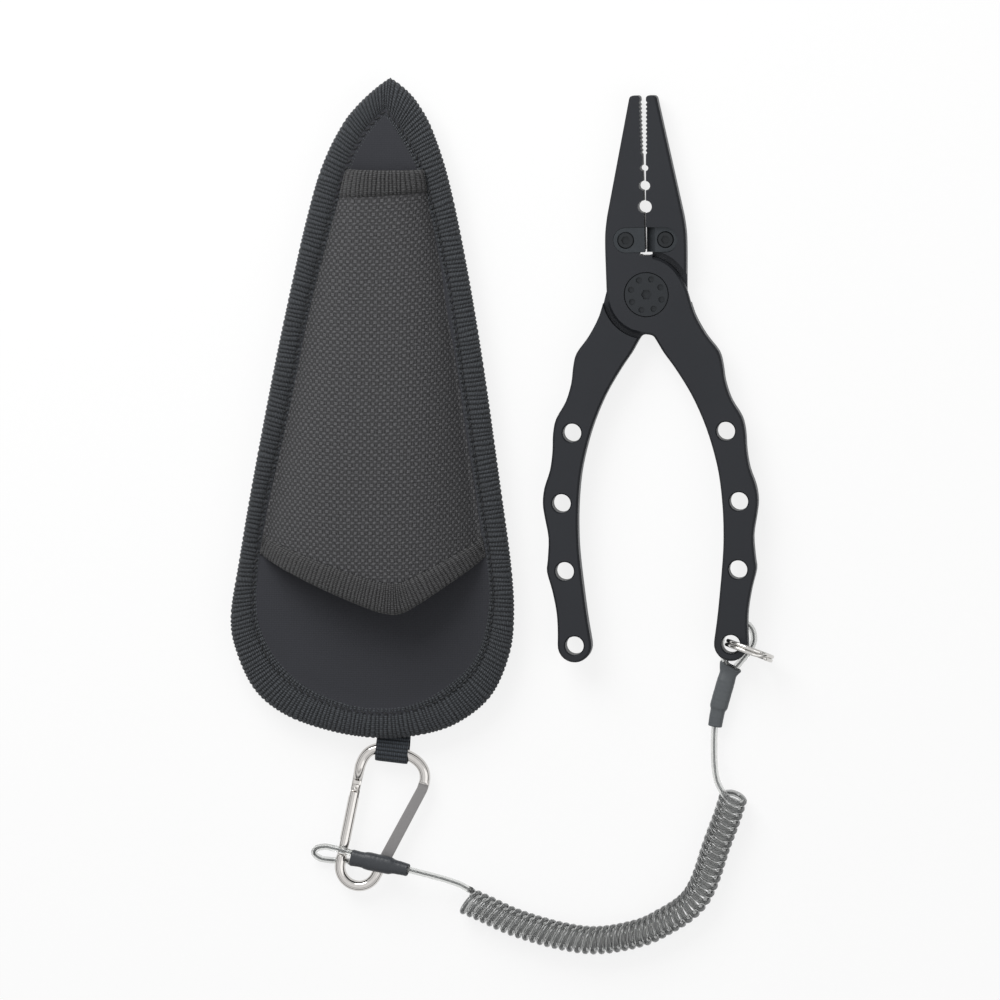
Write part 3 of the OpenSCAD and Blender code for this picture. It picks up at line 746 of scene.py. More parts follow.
def stitches(shell: Shell, line: Array, pitch: float, thread: float, slant: float = 0.0) -> Shell:
    """A row of stitches: short thread arcs along a line, each dipping at both ends.

    Each stitch is a tube of five rings of six points. Its middle stands highest, its ends sink by about
    half the thread's thickness, and slant turns it off the line.

    Args:
        shell: where they go.
        line: points of the seam on the cloth.
        pitch: distance from stitch to stitch.
        thread: thickness of the thread.
        slant: sideways reach of a stitch, from its start to its end.

    Returns:
        The shell.
    """
    rings, corners, samples = 5, 6, 8
    gap, length, rise, sink, narrow = 0.06, 0.88, 1.1, 0.55, 0.55
    count = int(run_of(line)[-1] / pitch)
    even = spaced(line, count * samples + 1)
    start, along = even[:-1:samples], slopes(even)[:-1:samples]
    side = unit(np.cross(along, UP))
    t = np.linspace(0, 1, rings)
    turn = np.linspace(0, 2 * np.pi, corners, endpoint=False)
    reach, arch = pitch * (gap + length * t), thread * (rise * np.sin(np.pi * t) - sink)
    centre = (
        start[:, None]
        + along[:, None] * reach[None, :, None]
        + side[:, None] * (slant * (t - 0.5))[None, :, None]
        + UP * arch[None, :, None]
    )
    fat = thread / 2 * np.array([narrow, 1, 1, 1, narrow])[None, :, None, None]
    ring = np.cos(turn)[None, None, :, None] * side[:, None, None] + np.sin(turn)[None, None, :, None] * UP
    at = centre[:, :, None] + fat * ring
    r, c = np.meshgrid(np.arange(rings - 1), np.arange(corners), indexing="ij")
    low, after = r * corners, (c + 1) % corners
    quads = np.stack([low + c, low + after, low + corners + after, low + corners + c], -1).reshape(-1, 4)
    rim = np.arange(corners)
    lids = np.stack([rim[::-1], (rings - 1) * corners + rim])
    base = shell.count + rings * corners * np.arange(count)[:, None, None]
    walls, ends = (base + quads).reshape(-1, 4), (base + lids).reshape(-1, corners)
    shell.points.append(at.reshape(-1, 3))
    shell.faces += walls.tolist() + ends.tolist()
    shell.maps.append(np.zeros((walls.size + ends.size, 2)))
    shell.count += at.size // 3
    return shell


@dataclass
class Pliers:
    """The two plates, the pivot and the cutters, which keep their solids and get their finishes.

    Attributes:
        plates: the two levers.
        pivot: nut and bolt of the hinge.
        blades: the cutters.
        screws: the screws that hold the blades.
        washers: the ring between the plates.
    """

    plates: tuple[str, ...] = ("lever_back", "lever_front")
    pivot: tuple[str, ...] = ("pivot_nut", "pivot_bolt")
    blades: tuple[str, ...] = ("cutter_front", "cutter_back")
    screws: tuple[str, ...] = ("cutter_screw_front", "cutter_screw_back")
    washers: tuple[str, ...] = ("pivot_washer",)

    def dress(self, nodes: Nodes) -> None:
        """Gives each solid its finish.

        Args:
            nodes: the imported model's objects by name.
        """
        dress(nodes, self.plates, BLACK_ANODISED)
        dress(nodes, self.pivot, BLACK_TURNED)
        dress(nodes, self.blades, BLADE_STEEL)
        dress(nodes, self.screws, SCREW_STEEL)
        dress(nodes, self.washers, BRONZE)


def dress(nodes: Nodes, names: tuple[str, ...], finish: Finish) -> None:
    """Puts one finish on several solids.

    Args:
        nodes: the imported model's objects by name.
        names: which of them.
        finish: the finish.
    """
    made = finish.material()
    for name in names:
        nodes[name].data.materials.clear()
        nodes[name].data.materials.append(made)
        LOG.info("%s: %s", name, finish.name)


def second_finish(piece: bpy.types.Object, finish: bpy.types.Material, faces: Array) -> None:
    """Puts a second finish on some of a piece's faces.

    Args:
        piece: the object.
        finish: its second material.
        faces: which of the first faces get it, in the order they were added.
    """
    piece.data.materials.append(finish)
    which = np.zeros(len(piece.data.polygons), np.int32)
    which[: faces.size] = faces
    piece.data.polygons.foreach_set("material_index", which)


@dataclass
class Lanyard:
    """Coated wire from the ring's eye through the coil to the hook's eye, with its sleeves and split ring.

    Attributes:
        wire: thickness over the jacket.
        core: thickness of the steel wire inside.
        coil_radius: from the coil's middle line to the wire's.
        coil_height: height of the coil's middle line.
        turns: turns of the coil.
        per_turn: points that a turn is drawn through.
        tip: how far the tops of the turns lie ahead, in radii, near the ring and further on.
        tip_span: shares of the coil between which the one tip goes over into the other.
        shear: how far the outer sides of the turns lie ahead, in radii.
        length: length of the wire; not used.
        ring_radius: from the split ring's middle to its wire's.
        ring_wire: thickness of the split ring's wire.
        ring_at: the split ring's middle.
        ring_way: direction of the ring's plane seen from above, in degrees.
        ring_tilt: how far the ring's axis is tipped up, in degrees.
    """

    wire: float = 2.1
    core: float = 0.5
    coil_radius: float = 3.7
    coil_height: float = 4.8
    turns: int = 49
    per_turn: int = 8
    tip: tuple[float, float] = (0.38, 0.2)
    tip_span: tuple[float, float] = (0.3, 0.6)
    shear: float = 0.13
    length: float = 1340.0
    ring_radius: float = 7.6
    ring_wire: float = 1.3
    ring_at: Spot = (80.9223, -52.1847, 9.0)
    ring_way: float = -19.7
    ring_tilt: float = 7.5

    def upper(self) -> Array:
        """Centre points from the wire's end in the upper sleeve, round the eye and down to the coil."""
        return np.array(
            [
                (70.2, -68.35, 3.05), (71.34, -64.27, 3.2), (72.42, -60.59, 3.35), (72.88, -57.59, 3.4),
                (71.67, -53.89, 3.4), (71.47, -48.89, 3.4), (73.67, -44.69, 3.4), (77.67, -43.39, 3.4),
                (80.97, -45.39, 3.4), (81.88, -49.39, 3.4), (80.27, -52.99, 3.4), (77.67, -56.39, 3.4),
                (75.86, -58.6, 3.4), (74.51, -61.26, 3.35), (73.43, -64.78, 3.2), (72.03, -69.12, 3.05),
                (70.22, -74.22, 2.8), (69.16, -78.09, 2.75), (68.99, -83.85, 3.3), (69.24, -89.91, 4.5),
                (70.11, -94.96, 5.9), (71.71, -98.1, 7.1),
            ]
        )  # fmt: skip

    def lower(self) -> Array:
        """Centre points from the coil to the lower sleeve, over the hook's rod and back under it."""
        return np.array(
            [
                (-11.1, -132.1, 6.1), (-14.03, -130.48, 6.8), (-17.62, -129.16, 7.4), (-21.21, -128.04, 8),
                (-26, -126.77, 8.6), (-30.79, -125.5, 9.2), (-33.78, -124.7, 9.2), (-36.78, -123.5, 9.1),
                (-42.78, -122.1, 8.9), (-46.78, -120.9, 8.7), (-49.33, -120.4, 8.6), (-51.73, -119.8, 8),
                (-54.73, -119.2, 7.7), (-58.33, -118.8, 6.5), (-61.33, -119.7, 4.95), (-62.13, -121.6, 3.35),
                (-60.33, -123.3, 2.3), (-57.33, -123.9, 1.4), (-54.33, -124, 1.3), (-51.95, -123.9, 2.2),
                (-50.45, -123.8, 4.2), (-49.95, -123.8, 6.2), (-49, -123.8, 7.5), (-46.78, -123.8, 8),
                (-42.78, -124.4, 8.2), (-37.78, -125.4, 8.5),
            ]
        )  # fmt: skip

    def axis(self, shares: Array) -> Array:
        """Points of the coil's middle line, seen from above.

        Args:
            shares: shares of its length.

        Returns:
            Rows of x and y.
        """
        route = np.array(
            [
                (75.61, -100.05), (73.55, -106.84), (69.92, -116.74), (65.8, -129.16), (61.15, -136.39),
                (52.89, -142.06), (44.62, -145.93), (31.2, -148.45), (18.79, -147.15), (4.33, -143.15),
                (-5.99, -138.65), (-12.2, -135.95),
            ]
        )  # fmt: skip
        return at_shares(spaced(curve(route, 24), 600), shares)

    def centreline(self) -> tuple[Array, Array, Array]:
        """The wire's centre points, the vectors that its rings are set by, and which points lie in the coil.

        In the coil a point is the middle line plus the coil's radius times (cosine sideways, sine upwards)
        of an angle that falls evenly along the line. The turns lie over: their tops tip ahead along the
        line, more so near the ring, and their outer sides run a little ahead of the inner ones. Rings are
        set by the upward vector outside the coil and by the middle line's direction in it.

        Returns:
            Centre points, reference vectors and whether each point lies in the coil.
        """
        near, blur, fine = 0.01, 7, 4
        turn = np.linspace(2 * np.pi / 3, np.pi - 2 * np.pi * self.turns, self.turns * self.per_turn)
        share = np.linspace(0, 1, len(turn))
        ahead = unit(self.axis(np.minimum(share + near, 1)) - self.axis(np.maximum(share - near, 0)))
        side = np.stack([-ahead[:, 1], ahead[:, 0]], -1)
        over = np.interp(share, self.tip_span, self.tip) * np.sin(turn) + self.shear * np.cos(turn)
        flat = self.axis(share) + self.coil_radius * (np.cos(turn)[:, None] * side + over[:, None] * ahead)
        coil = np.column_stack([flat, self.coil_height + self.coil_radius * np.sin(turn)])
        upper, lower = self.upper(), self.lower()
        keys = np.vstack([upper, coil, lower])
        inside = np.repeat([0.0, 1.0, 0.0], [len(upper), len(coil), len(lower)])
        inside = smoothed(inside, blur)[:, None]
        way = np.pad(ahead, ((len(upper), len(lower)), (0, 0)), mode="edge")
        setting = (1 - inside) * UP + inside * np.column_stack([way, np.zeros(len(keys))])
        return curve(keys, fine), curve(setting, fine), curve(inside, fine)[:, 0] > 0.5

    def strand(self, path: Array, setting: Array, thick: float, corners: int) -> Shell:
        """A round wire: a circle carried along the path, mapped by length along it and turn round it.

        Args:
            path: centre points.
            setting: vectors that the rings are set by.
            thick: thickness of the wire.
            corners: points in a ring.

        Returns:
            The wire's shell.
        """
        ahead = slopes(path)
        side = unit(np.cross(ahead, setting))
        half = np.full(len(path), thick / 2)
        at = sweep(path, side, np.cross(side, ahead), oval(half, half, corners))
        round_it = np.linspace(0, 1, corners + 1) / MM
        return Shell().tube(at, np.stack(np.meshgrid(run_of(path), round_it, indexing="ij"), -1))

    def sleeve(self, route: Array, form: Array, low: float, high: float, slant: float = 0.0) -> Shell:
        """A shrunk sleeve: boxy ovals along the route whose half widths follow the ferrule and wires inside.

        At both ends the wall turns over a rounded rim and back into the mouth. The slant moves the points of
        the first rim along the sleeve by their place across it.

        Args:
            route: middle points of the sleeve, seen from above.
            form: rows of share along, half width and half height.
            low: height of the middle at the eye.
            high: height of the middle at the plain end.
            slant: rise of the first rim to its width.

        Returns:
            The sleeve's shell.
        """
        stations, samples, points, corners = 81, 30, 201, 28
        boxy, near, blur, fade = 2.5, 0.02, 5, 0.1
        even = np.linspace(0, 1, stations)
        # share along, scale and way past the end, from inside the mouth to the rim
        rim = np.array([(0.06, 0.62, 0), (0.01, 0.76, 0), (0, 0.86, -0.16), (0, 0.96, -0.1)])
        wall = np.column_stack([even[1:-1], np.ones(stations - 2), np.zeros(stations - 2)])
        far_rim = (rim * (-1, 1, -1) + (1, 0, 0))[::-1]
        share, scale, past = np.vstack([rim, wall, far_rim]).T
        halves = (smoothed(np.interp(even, form[:, 0], half), blur) for half in form[:, 1:].T)
        wide, tall = (np.interp(share, even, half) for half in halves)
        heights = np.linspace(low, high, samples * (len(route) - 1) + 1)
        line = spaced(np.column_stack([curve(route, samples), heights]), points)
        here, after, before = (at_shares(line, np.clip(share + step, 0, 1)) for step in (0, near, -near))
        ahead = unit(after - before)
        side = unit(np.cross(ahead, UP))
        # two waves that don't match pucker the wall by about a hundredth
        pucker = scale * (1 + 0.012 * np.sin(share * 61) * np.sin(share * 23 + 1))
        section = oval(wide * pucker, tall * pucker, corners, boxy)
        at = sweep(here + ahead * past[:, None], side, np.cross(side, ahead), section)
        askew = slant * section[..., 0] * np.exp(-share / fade)[:, None]
        return Shell().tube(at + ahead[:, None] * askew[..., None])

    def split_ring(self) -> Shell:
        """Two turns of flattened wire: the angle runs twice round while a smooth step shifts it sideways.

        The wire's middle is the ring's radius at the angle; its sideways place goes from one side to the
        other in about a seventh of a turn, where the wire crosses over, and both ends taper.

        Returns:
            The ring's shell.
        """
        gap, crossing, taper, blunt, start = 0.06, 0.45, 0.12, 0.35, 0.9
        points, corners, slim, boxy = 260, 14, 0.98, 2.6
        turn = np.linspace(gap, 4 * np.pi - gap, points)
        shift = self.ring_wire * 0.5 * (2 * eased((turn - 2 * np.pi + crossing) / (2 * crossing)) - 1)
        way, tilt = math.radians(self.ring_way), math.radians(self.ring_tilt)
        out = np.array([math.cos(way), math.sin(way), 0.0])
        aside = np.array([math.sin(way) * math.cos(tilt), -math.cos(way) * math.cos(tilt), math.sin(tilt)])
        ray = np.cos(turn + start)[:, None] * out + np.sin(turn + start)[:, None] * np.cross(aside, out)
        path = np.array(self.ring_at) + self.ring_radius * ray + shift[:, None] * aside
        half = self.ring_wire / 2 * np.clip(np.minimum(turn - turn[0], turn[-1] - turn) / taper, blunt, 1)
        section = oval(half * slim, half, corners, boxy)
        return Shell().tube(sweep(path, np.tile(aside, (len(path), 1)), ray, section))

    def build(self, nodes: Nodes) -> None:
        """Args:
            nodes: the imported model's objects by name.
        """
        path, setting, coiled = self.centreline()
        corners, core_corners = 12, 8
        shell = self.strand(path, setting, self.wire, corners)
        jacket = shell.piece("cord_jacket", JACKET.material(), "clear_jacket")
        # the coiled part of the jacket gets the darker tint: painted shade of the stacked turns
        second_finish(jacket, JACKET_COIL_SHADE.material(), np.repeat(coiled[:-1], corners))
        shell = self.strand(path, setting, self.core, core_corners)
        core = shell.piece("cord_wire", WIRE_CORE.material(), "coil_jacket")
        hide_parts("eye_upper", "lead_upper", "coil", "lead_lower", "eye_lower")
        upper = self.sleeve(
            np.array([(74.38, -57.89), (73.41, -60.85), (70.38, -71.67), (69.25, -77.59)]),
            np.array(
                [(0, 3.8, 1.8), (0.04, 3.65, 1.85), (0.14, 2.8, 2.0), (0.19, 2.8, 2.2), (0.24, 2.95, 2.45),
                 (0.69, 2.95, 2.45), (0.74, 2.42, 2.15), (1, 2.3, 2.1)]
            ),
            low=3.4,
            high=2.75,
            slant=-0.12,
        ).piece("sleeve_upper_tube", SLEEVE_GREY.material(), "sleeve_grey")  # fmt: skip
        lower = self.sleeve(
            np.array([(-49.28, -122), (-42.78, -123.2), (-33.78, -125), (-30.79, -125.7)]),
            np.array(
                [(0, 2.7, 2.1), (0.2, 2.5, 2.1), (0.27, 2.95, 2.45), (0.68, 2.85, 2.4), (0.76, 2.3, 2.1),
                 (1, 2.05, 1.95)]
            ),
            low=8.3,
            high=9.2,
        ).piece("sleeve_lower_tube", SLEEVE_BLACK.material(), "sleeve_black")  # fmt: skip
        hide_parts("sleeve_upper")
        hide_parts("sleeve_lower")
        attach(upper, Body.FRONT.value)
        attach(lower, Body.ROOT.value)
        ring = self.split_ring().piece("split_ring_wire", NICKEL.material(), "nickel")
        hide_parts("split_ring")
        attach(ring, Body.RING.value)
        dress(nodes, ("ferrule_upper", "ferrule_lower"), FERRULE)
        for piece in (jacket, core):
            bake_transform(piece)


@dataclass
class SnapHook:
    """The hook's bent rod with its flattened back, and the finishes of its gate and pins.

    Attributes:
        at: middle of the small bend.
        turn: how far the hook's middle line is turned from y, in degrees.
        span: from the small bend's middle to the big one's.
        big: radius of the big bend.
        small: radius of the small bend.
        rod: thickness of the rod.
        flat: its thickness where it is pressed flat.
        shoulder: how far past the big bend's middle its boxy curve starts.
        over: how far the boxy curve reaches past a round bend.
        gate_foot: from the small bend's end to the gate's pin.
        gate_head: from the gate's free end to the big bend.
        tongue: thickness of the tongues that the gate closes over.
        gap: room between the rod's end and the gate.
    """

    at: Spot = (-47.39, -125.61, 4.35)
    turn: float = -19.8
    span: float = 28.3
    big: float = 10.3
    small: float = 6.25
    rod: float = 3.5
    flat: float = 2.4
    shoulder: float = 3.2
    over: float = 1.8
    gate_foot: float = 5.2
    gate_head: float = 1.4
    tongue: float = 1.4
    gap: float = 0.5

    @property
    def lean(self) -> float:
        """Angle of the straight rods against the hook's middle line, in radians."""
        return math.asin((self.big - self.small) / self.span)

    @property
    def stub(self) -> float:
        """Length of the rod past the small bend, on the gate's side."""
        return self.gate_foot - self.rod / 2 - self.gap

    def place(self, local: Array) -> Array:
        """Turns points of the hook's own frame into the model's frame."""
        return local @ spin(math.radians(self.turn)) + np.array(self.at)

    def gate_place(self, local: Array) -> Array:
        """Turns points of the gate's frame, rod along y, into the model's frame."""
        foot = -self.small * np.array([math.cos(self.lean), math.sin(self.lean), 0])
        return self.place(local @ spin(self.lean) + foot)

    def rod_shell(self) -> tuple[Shell, Array]:
        """The rod: a boxy bend, a straight back whose oval goes from round to flat, and a round bend.

        The boxy bend is a half oval with sine and cosine raised to 0.75. It stands on the ends of both
        straight stretches, which lean out a little from the round bend.

        Returns:
            The rod's shell, and which of its first faces lie on the pressed flats.
        """
        a = self.lean
        boxiness, wider, squarer, corners, blunt = 0.75, 0.14, 7, 32, 0.9
        top_points, foot_points, end_points = 72, 48, 5
        top = np.linspace(np.pi, 0, top_points)
        foot = np.linspace(-a, a - np.pi, foot_points)
        rise, tall = self.shoulder + self.big * math.sin(a), self.big + self.over - self.shoulder
        wide = self.big * math.cos(a) + rise * math.tan(a)
        arc = np.column_stack([np.cos(top), np.sin(top)])
        arc = np.sign(arc) * np.abs(arc) ** boxiness * np.array([wide, tall])
        toe = np.array([[-self.big * math.cos(a), self.span - self.big * math.sin(a)]])
        big = np.vstack([toe, arc + np.array([0.0, self.span + self.shoulder])])
        small = np.column_stack([self.small * np.cos(foot), self.small * np.sin(foot)])
        # points of the back lie closest where its flat begins and ends
        stretches = (np.linspace(0.02, 0.16, 14), np.linspace(0.2, 0.78, 9), np.linspace(0.8, 0.98, 12))
        share = np.concatenate(stretches)[:, None]
        back = big[-1] * (1 - share) + small[0] * share
        reach = np.linspace(0.3, self.stub, end_points)[:, None]
        end = small[-1] + reach * np.array([-math.sin(a), math.cos(a)])
        line = np.vstack([big, back, small, end])
        path = self.place(np.column_stack([line, np.zeros(len(line))]))
        straight = float(np.linalg.norm(small[0] - big[-1]))
        past = run_of(line) - run_of(big)[-1]
        before, fade_in, until, fade_out = 2.6, 1.0, 0.9 * straight, 1.8
        press = eased(np.minimum((past + before) / fade_in, (until - past) / fade_out))
        grown = wider * np.clip(past / straight, 0, 1) * press
        half = np.full(len(path), self.rod / 2)
        half[[0, -1]] *= blunt
        high = half - press * (self.rod - self.flat) / 2
        ahead = slopes(path)
        side = unit(np.cross(ahead, UP))
        section = oval(half * (1 + grown), high, corners, 2 + squarer * press)
        steep = np.abs(np.sin(2 * np.pi * (np.arange(corners) + 0.5) / corners))
        flats = (np.minimum(press[:-1], press[1:])[:, None] > 0.5) & (steep[None] > 0.5)
        return Shell().tube(sweep(path, side, np.cross(side, ahead), section)), flats

    def tongue_plate(self, shell: Shell, start: float, end: float) -> Shell:
        """Adds a flat tongue with a round end: a half circle and two straight sides, both faces bevelled.

        Args:
            shell: where it goes.
            start: place of its root along the gate's line.
            end: place of its round end's middle.

        Returns:
            The shell.
        """
        slim, points = 0.42, 17
        half = slim * self.rod
        way = 1.0 if end > start else -1.0
        arc = np.linspace(0, np.pi, points)
        tip = np.column_stack([half * np.cos(arc), end + way * half * np.sin(arc)])
        outline = np.vstack([tip, [(-half, start), (half, start)]])
        middle = outline.mean(0)
        # shares of the thickness, and scales of the outline there
        levels = np.array([(-0.5, 0.9), (-0.42, 1.0), (0.42, 1.0), (0.5, 0.9)])
        rings = middle + (outline - middle)[None] * levels[:, 1, None, None]
        depths = (levels[:, 0] * self.tongue)[:, None, None]
        heights = np.broadcast_to(depths, (*rings.shape[:2], 1))
        return shell.tube(self.gate_place(np.concatenate([rings, heights], -1)))

    def nose_pin(self, shell: Shell, at: float) -> Shell:
        """Adds the cross pin of the nose: rings of a turned pin with rounded ends.

        Args:
            shell: where it goes.
            at: its place along the gate's line.

        Returns:
            The shell.
        """
        corners = 20
        # heights, and radii there
        levels = np.array([(-1.5, 0.35), (-1.42, 0.55), (-1.3, 0.6), (1.3, 0.6), (1.42, 0.55), (1.5, 0.35)])
        turn = np.linspace(0, 2 * np.pi, corners, endpoint=False)
        x = levels[:, 1:] * np.cos(turn)
        y = at + levels[:, 1:] * np.sin(turn)
        z = np.broadcast_to(levels[:, :1], x.shape)
        return shell.tube(self.gate_place(np.stack([x, y, z], -1)))

    def build(self, nodes: Nodes) -> None:
        """Makes the rod and dresses the gate and the pins.

        Args:
            nodes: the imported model's objects by name.
        """
        root, inset = 1.0, 1.6
        run = math.sqrt(self.span**2 - (self.big - self.small) ** 2)
        nose = run - self.gate_head - inset
        shell, flats = self.rod_shell()
        self.tongue_plate(shell, self.stub - root, self.gate_foot)
        self.tongue_plate(shell, run + root, nose)
        self.nose_pin(shell, nose)
        rod = shell.piece("hook_rod", POLISHED.material(), "hook_metal")
        second_finish(rod, PRESSED.material(), flats.ravel())
        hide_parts("hook_body")
        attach(rod, Body.ROOT.value)
        dress(nodes, ("hook_gate",), POLISHED)
        dress(nodes, ("gate_pin", "gate_plunger", "gate_spring"), PIN_STEEL)


@dataclass
class Sheath:
    """Padded panel with ribbed edge binding, a swelling pocket, its tapes and the two webbing loops.

    Attributes:
        low: height of the panel's back.
        face: height of the panel's face.
        proud: how far the binding stands past both.
        cloth: thickness of the pocket's cloth.
        rib: rib spacing of the edge binding.
        soft_rib: rib spacing of the pocket's tapes.
        pocket_rise: swell of the pocket at its mouth.
        pocket_low: its swell at the top edge.
        pocket_drop: how far the mouth's peak hangs below its ends.
        pocket_peak: place of that peak across the pocket, from -1 on the left to 1 on the right.
        pocket_blunt: how rounded the peak is, as a share of a leg.
        pocket_tape: share of the pocket's length that the tape at its mouth takes.
        pocket_head: the same of the tape at its top edge.
        top_over: how much thicker than the cloth the tape at its top edge is.
        mouth_over: the same of the tape at its mouth.
        web_wide: width of the webbing that holds the hook.
        web_thick: its thickness.
        web_place: x and y of its sewn end, and its direction in degrees.
        belt_wide: width of the belt strap.
        belt_thick: its thickness.
        belt_place: x and y of its middle, and its direction in degrees.
        middle: the point that the panel's rays start from.
        samples: points to a stretch of an outline.
    """

    low: float = 6.4
    face: float = 9.4
    proud: float = 1.0
    cloth: float = 1.4
    rib: float = 1.5
    soft_rib: float = 1.35
    pocket_rise: float = 15.0
    pocket_low: float = 5.0
    pocket_drop: float = 17.6
    pocket_peak: float = 0.24
    pocket_blunt: float = 0.13
    pocket_tape: float = 0.078
    pocket_head: float = 0.085
    top_over: float = 0.9
    mouth_over: float = 1.3
    web_wide: float = 10.6
    web_thick: float = 1.1
    web_place: Spot = (-34.7, -72.0, 84.0)
    belt_wide: float = 38.0
    belt_thick: float = 1.6
    belt_place: Spot = (-40.39, 0.0, 90.0)
    middle: tuple[float, float] = (-40.0, -5.0)
    samples: int = 30

    def outer(self) -> Array:
        """Outline of the sheath, from its point down the right side and up the left."""
        points = np.array(
            [
                (-36.4, 132.8), (-34, 131.3), (-30.4, 128.3), (-26.9, 124), (-22.6, 116), (-17.41, 100.21),
                (-11.8, 73.89), (-6.21, 40.99), (-0.61, 1.52), (2.96, -24.8), (3.96, -41.5), (2.44, -54.66),
                (-3.66, -68.32), (-14.87, -77.43), (-27.59, -81.48), (-41.33, -82.49), (-56.09, -80.47),
                (-70.86, -75.41), (-81.04, -67.31), (-87.15, -54.66), (-88.92, -43.02), (-86.12, -24.8),
                (-81.55, 1.52), (-73.91, 40.99), (-66.79, 73.89), (-63.6, 87.3), (-60, 100.21),
                (-56, 110.2), (-51.3, 118.6), (-47.9, 122.9), (-44.3, 126.6), (-40, 130.3), (-36.4, 132.8),
            ]
        )  # fmt: skip
        return curve(points, self.samples)

    def inner(self) -> Array:
        """Inner edge of the binding, the same way round."""
        points = np.array(
            [
                (-38.1, 119.4), (-33.6, 113.37), (-28.1, 103.24), (-23, 86.04), (-18.43, 63.77),
                (-14.36, 35.43), (-8.25, -5.06), (-4.69, -30.37), (-5.2, -42.51), (-8.25, -54.15),
                (-15.38, -62.76), (-26.07, -69.34), (-38.27, -71.87), (-51.51, -70.35), (-64.23, -64.78),
                (-73.4, -56.68), (-78.48, -46.56), (-79.51, -37.45), (-79, -25.3), (-75.95, -5.06),
                (-69.33, 20.24), (-63.21, 52.63), (-55.8, 80.98), (-48.2, 103.24), (-42.9, 113.37),
                (-38.1, 119.4),
            ]
        )  # fmt: skip
        return curve(points, self.samples)

    def binding_lines(self, count: int) -> tuple[Array, Array]:
        """Matching points of the binding's outer and inner edges.

        Each outer point takes the nearest inner point, as a share of the inner line, and the shares are then
        smoothed round the whole line so that the ribs fan out at the point and the corners.

        Args:
            count: number of points round the sheath.

        Returns:
            Outer and inner points.
        """
        fine = 1200
        outer = spaced(self.outer(), count + 1)[:-1]
        inner = spaced(self.inner(), fine + 1)
        gap = np.linalg.norm(outer[:, None] - inner[None, :-1], axis=-1)
        near = np.argmin(gap, axis=1) / fine
        plain_share = np.arange(count) / count
        near = plain_share + (near - plain_share + 0.5) % 1.0 - 0.5
        window = count // 24
        wide = np.concatenate([near[-window:] - 1, near, near[:window] + 1])
        near = np.convolve(wide, np.full(2 * window + 1, 1 / (2 * window + 1)), mode="valid")
        return outer, at_shares(inner, near % 1.0)

    def binding_profile(self) -> Array:
        """Rows of the binding's profile: share from inner edge to rim, height, and how far ribs stand.

        The upper face has a sewn strip by the inner edge, a dip where the seam pulls it down, and a full
        roll to the rim. The lower face is plain.
        """
        return np.array(
            [
                (0, -0.5, 0), (0, 0.15, 0.3), (0.03, 0.5, 0.6), (0.09, 0.66, 0.8), (0.15, 0.7, 0.8),
                (0.2, 0.62, 0.6), (0.24, 0.58, 0.4), (0.29, 0.72, 0.7), (0.38, 0.92, 0.9), (0.5, 0.99, 1),
                (0.62, 1, 1), (0.74, 0.95, 1), (0.84, 0.83, 1), (0.92, 0.64, 1), (0.97, 0.4, 1),
                (0.995, 0.18, 1), (1, -0.05, 1), (0.99, -0.3, 1), (0.95, -0.55, 1), (0.87, -0.77, 1),
                (0.76, -0.9, 1), (0.5, -1, 0.8), (0.2, -0.96, 0.6), (0.02, -0.8, 0.2),
            ]
        )  # fmt: skip

    def binding(self) -> Shell:
        """The binding: the folded profile carried round the sheath, raised by ribs along its own normal.

        A rib is a sine's half wave along the rim, raised to 0.7 so that the ridges are round and the valleys
        narrow. Slow waves round the rim push the ribs a little along it and lean them, as hand-fed tape
        does.

        Returns:
            The binding's shell.
        """
        per_rib, tall, hump, mean = 6, 0.45, 0.7, 0.7
        count = int(run_of(self.outer())[-1] / self.rib) * per_rib
        outer, inner = self.binding_lines(count)
        top, foot = self.face + self.proud, self.low - self.proud
        mid, half = (top + foot) / 2, (top - foot) / 2
        share, height, stand = self.binding_profile().T
        across = outer - inner
        wide = float(np.linalg.norm(across, axis=1).mean())
        shape = np.column_stack([share * wide, height * half])
        along_it = np.roll(shape, -1, 0) - np.roll(shape, 1, 0)
        normal = unit(np.column_stack([-along_it[:, 1], along_it[:, 0]]))
        round_it = 2 * np.pi * np.arange(count + 1)[:, None] / count
        push = 0.12 * np.sin(37 * round_it + 1) + 0.08 * np.sin(83 * round_it)
        lean = 0.4 * np.sin(11 * round_it + 2) + 0.25 * np.sin(59 * round_it)
        turn = np.arange(count + 1)[:, None] / per_rib + push + lean * (share[None] - 0.5)
        ridge = tall * (np.abs(np.sin(np.pi * turn[:-1])) ** hump - mean)
        lift = ridge[..., None] * (stand[:, None] * normal)[None]
        flat = inner[:, None] + across[:, None] * share[None, :, None]
        flat = flat + unit(across)[:, None] * lift[..., :1]
        z = mid + half * height[None] + lift[..., 1]
        along = self.rib * np.concatenate([turn, turn[:, :1]], 1)
        wrap = np.broadcast_to(run_of(np.vstack([shape, shape[:1]])), along.shape)
        at = np.concatenate([flat, z[..., None]], -1)
        return Shell().grid(at, np.stack([along, wrap], -1), rows=True, columns=True)

    def panel(self) -> Shell:
        """The padded panel: rays from its middle to its outline, the face crowned and the back flat.

        A point is the middle plus its share of the ray; the face rises by a crown that falls with the fourth
        power of the share, less a dip along the binding's seam, and a few slow waves stand for the foam.

        Returns:
            The panel's shell.
        """
        rays, crown, dip, seam, seam_wide = 240, 0.55, 0.3, 0.84, 0.05
        rim = spaced(self.outer(), rays + 1)[:-1]
        middle = np.array(self.middle)
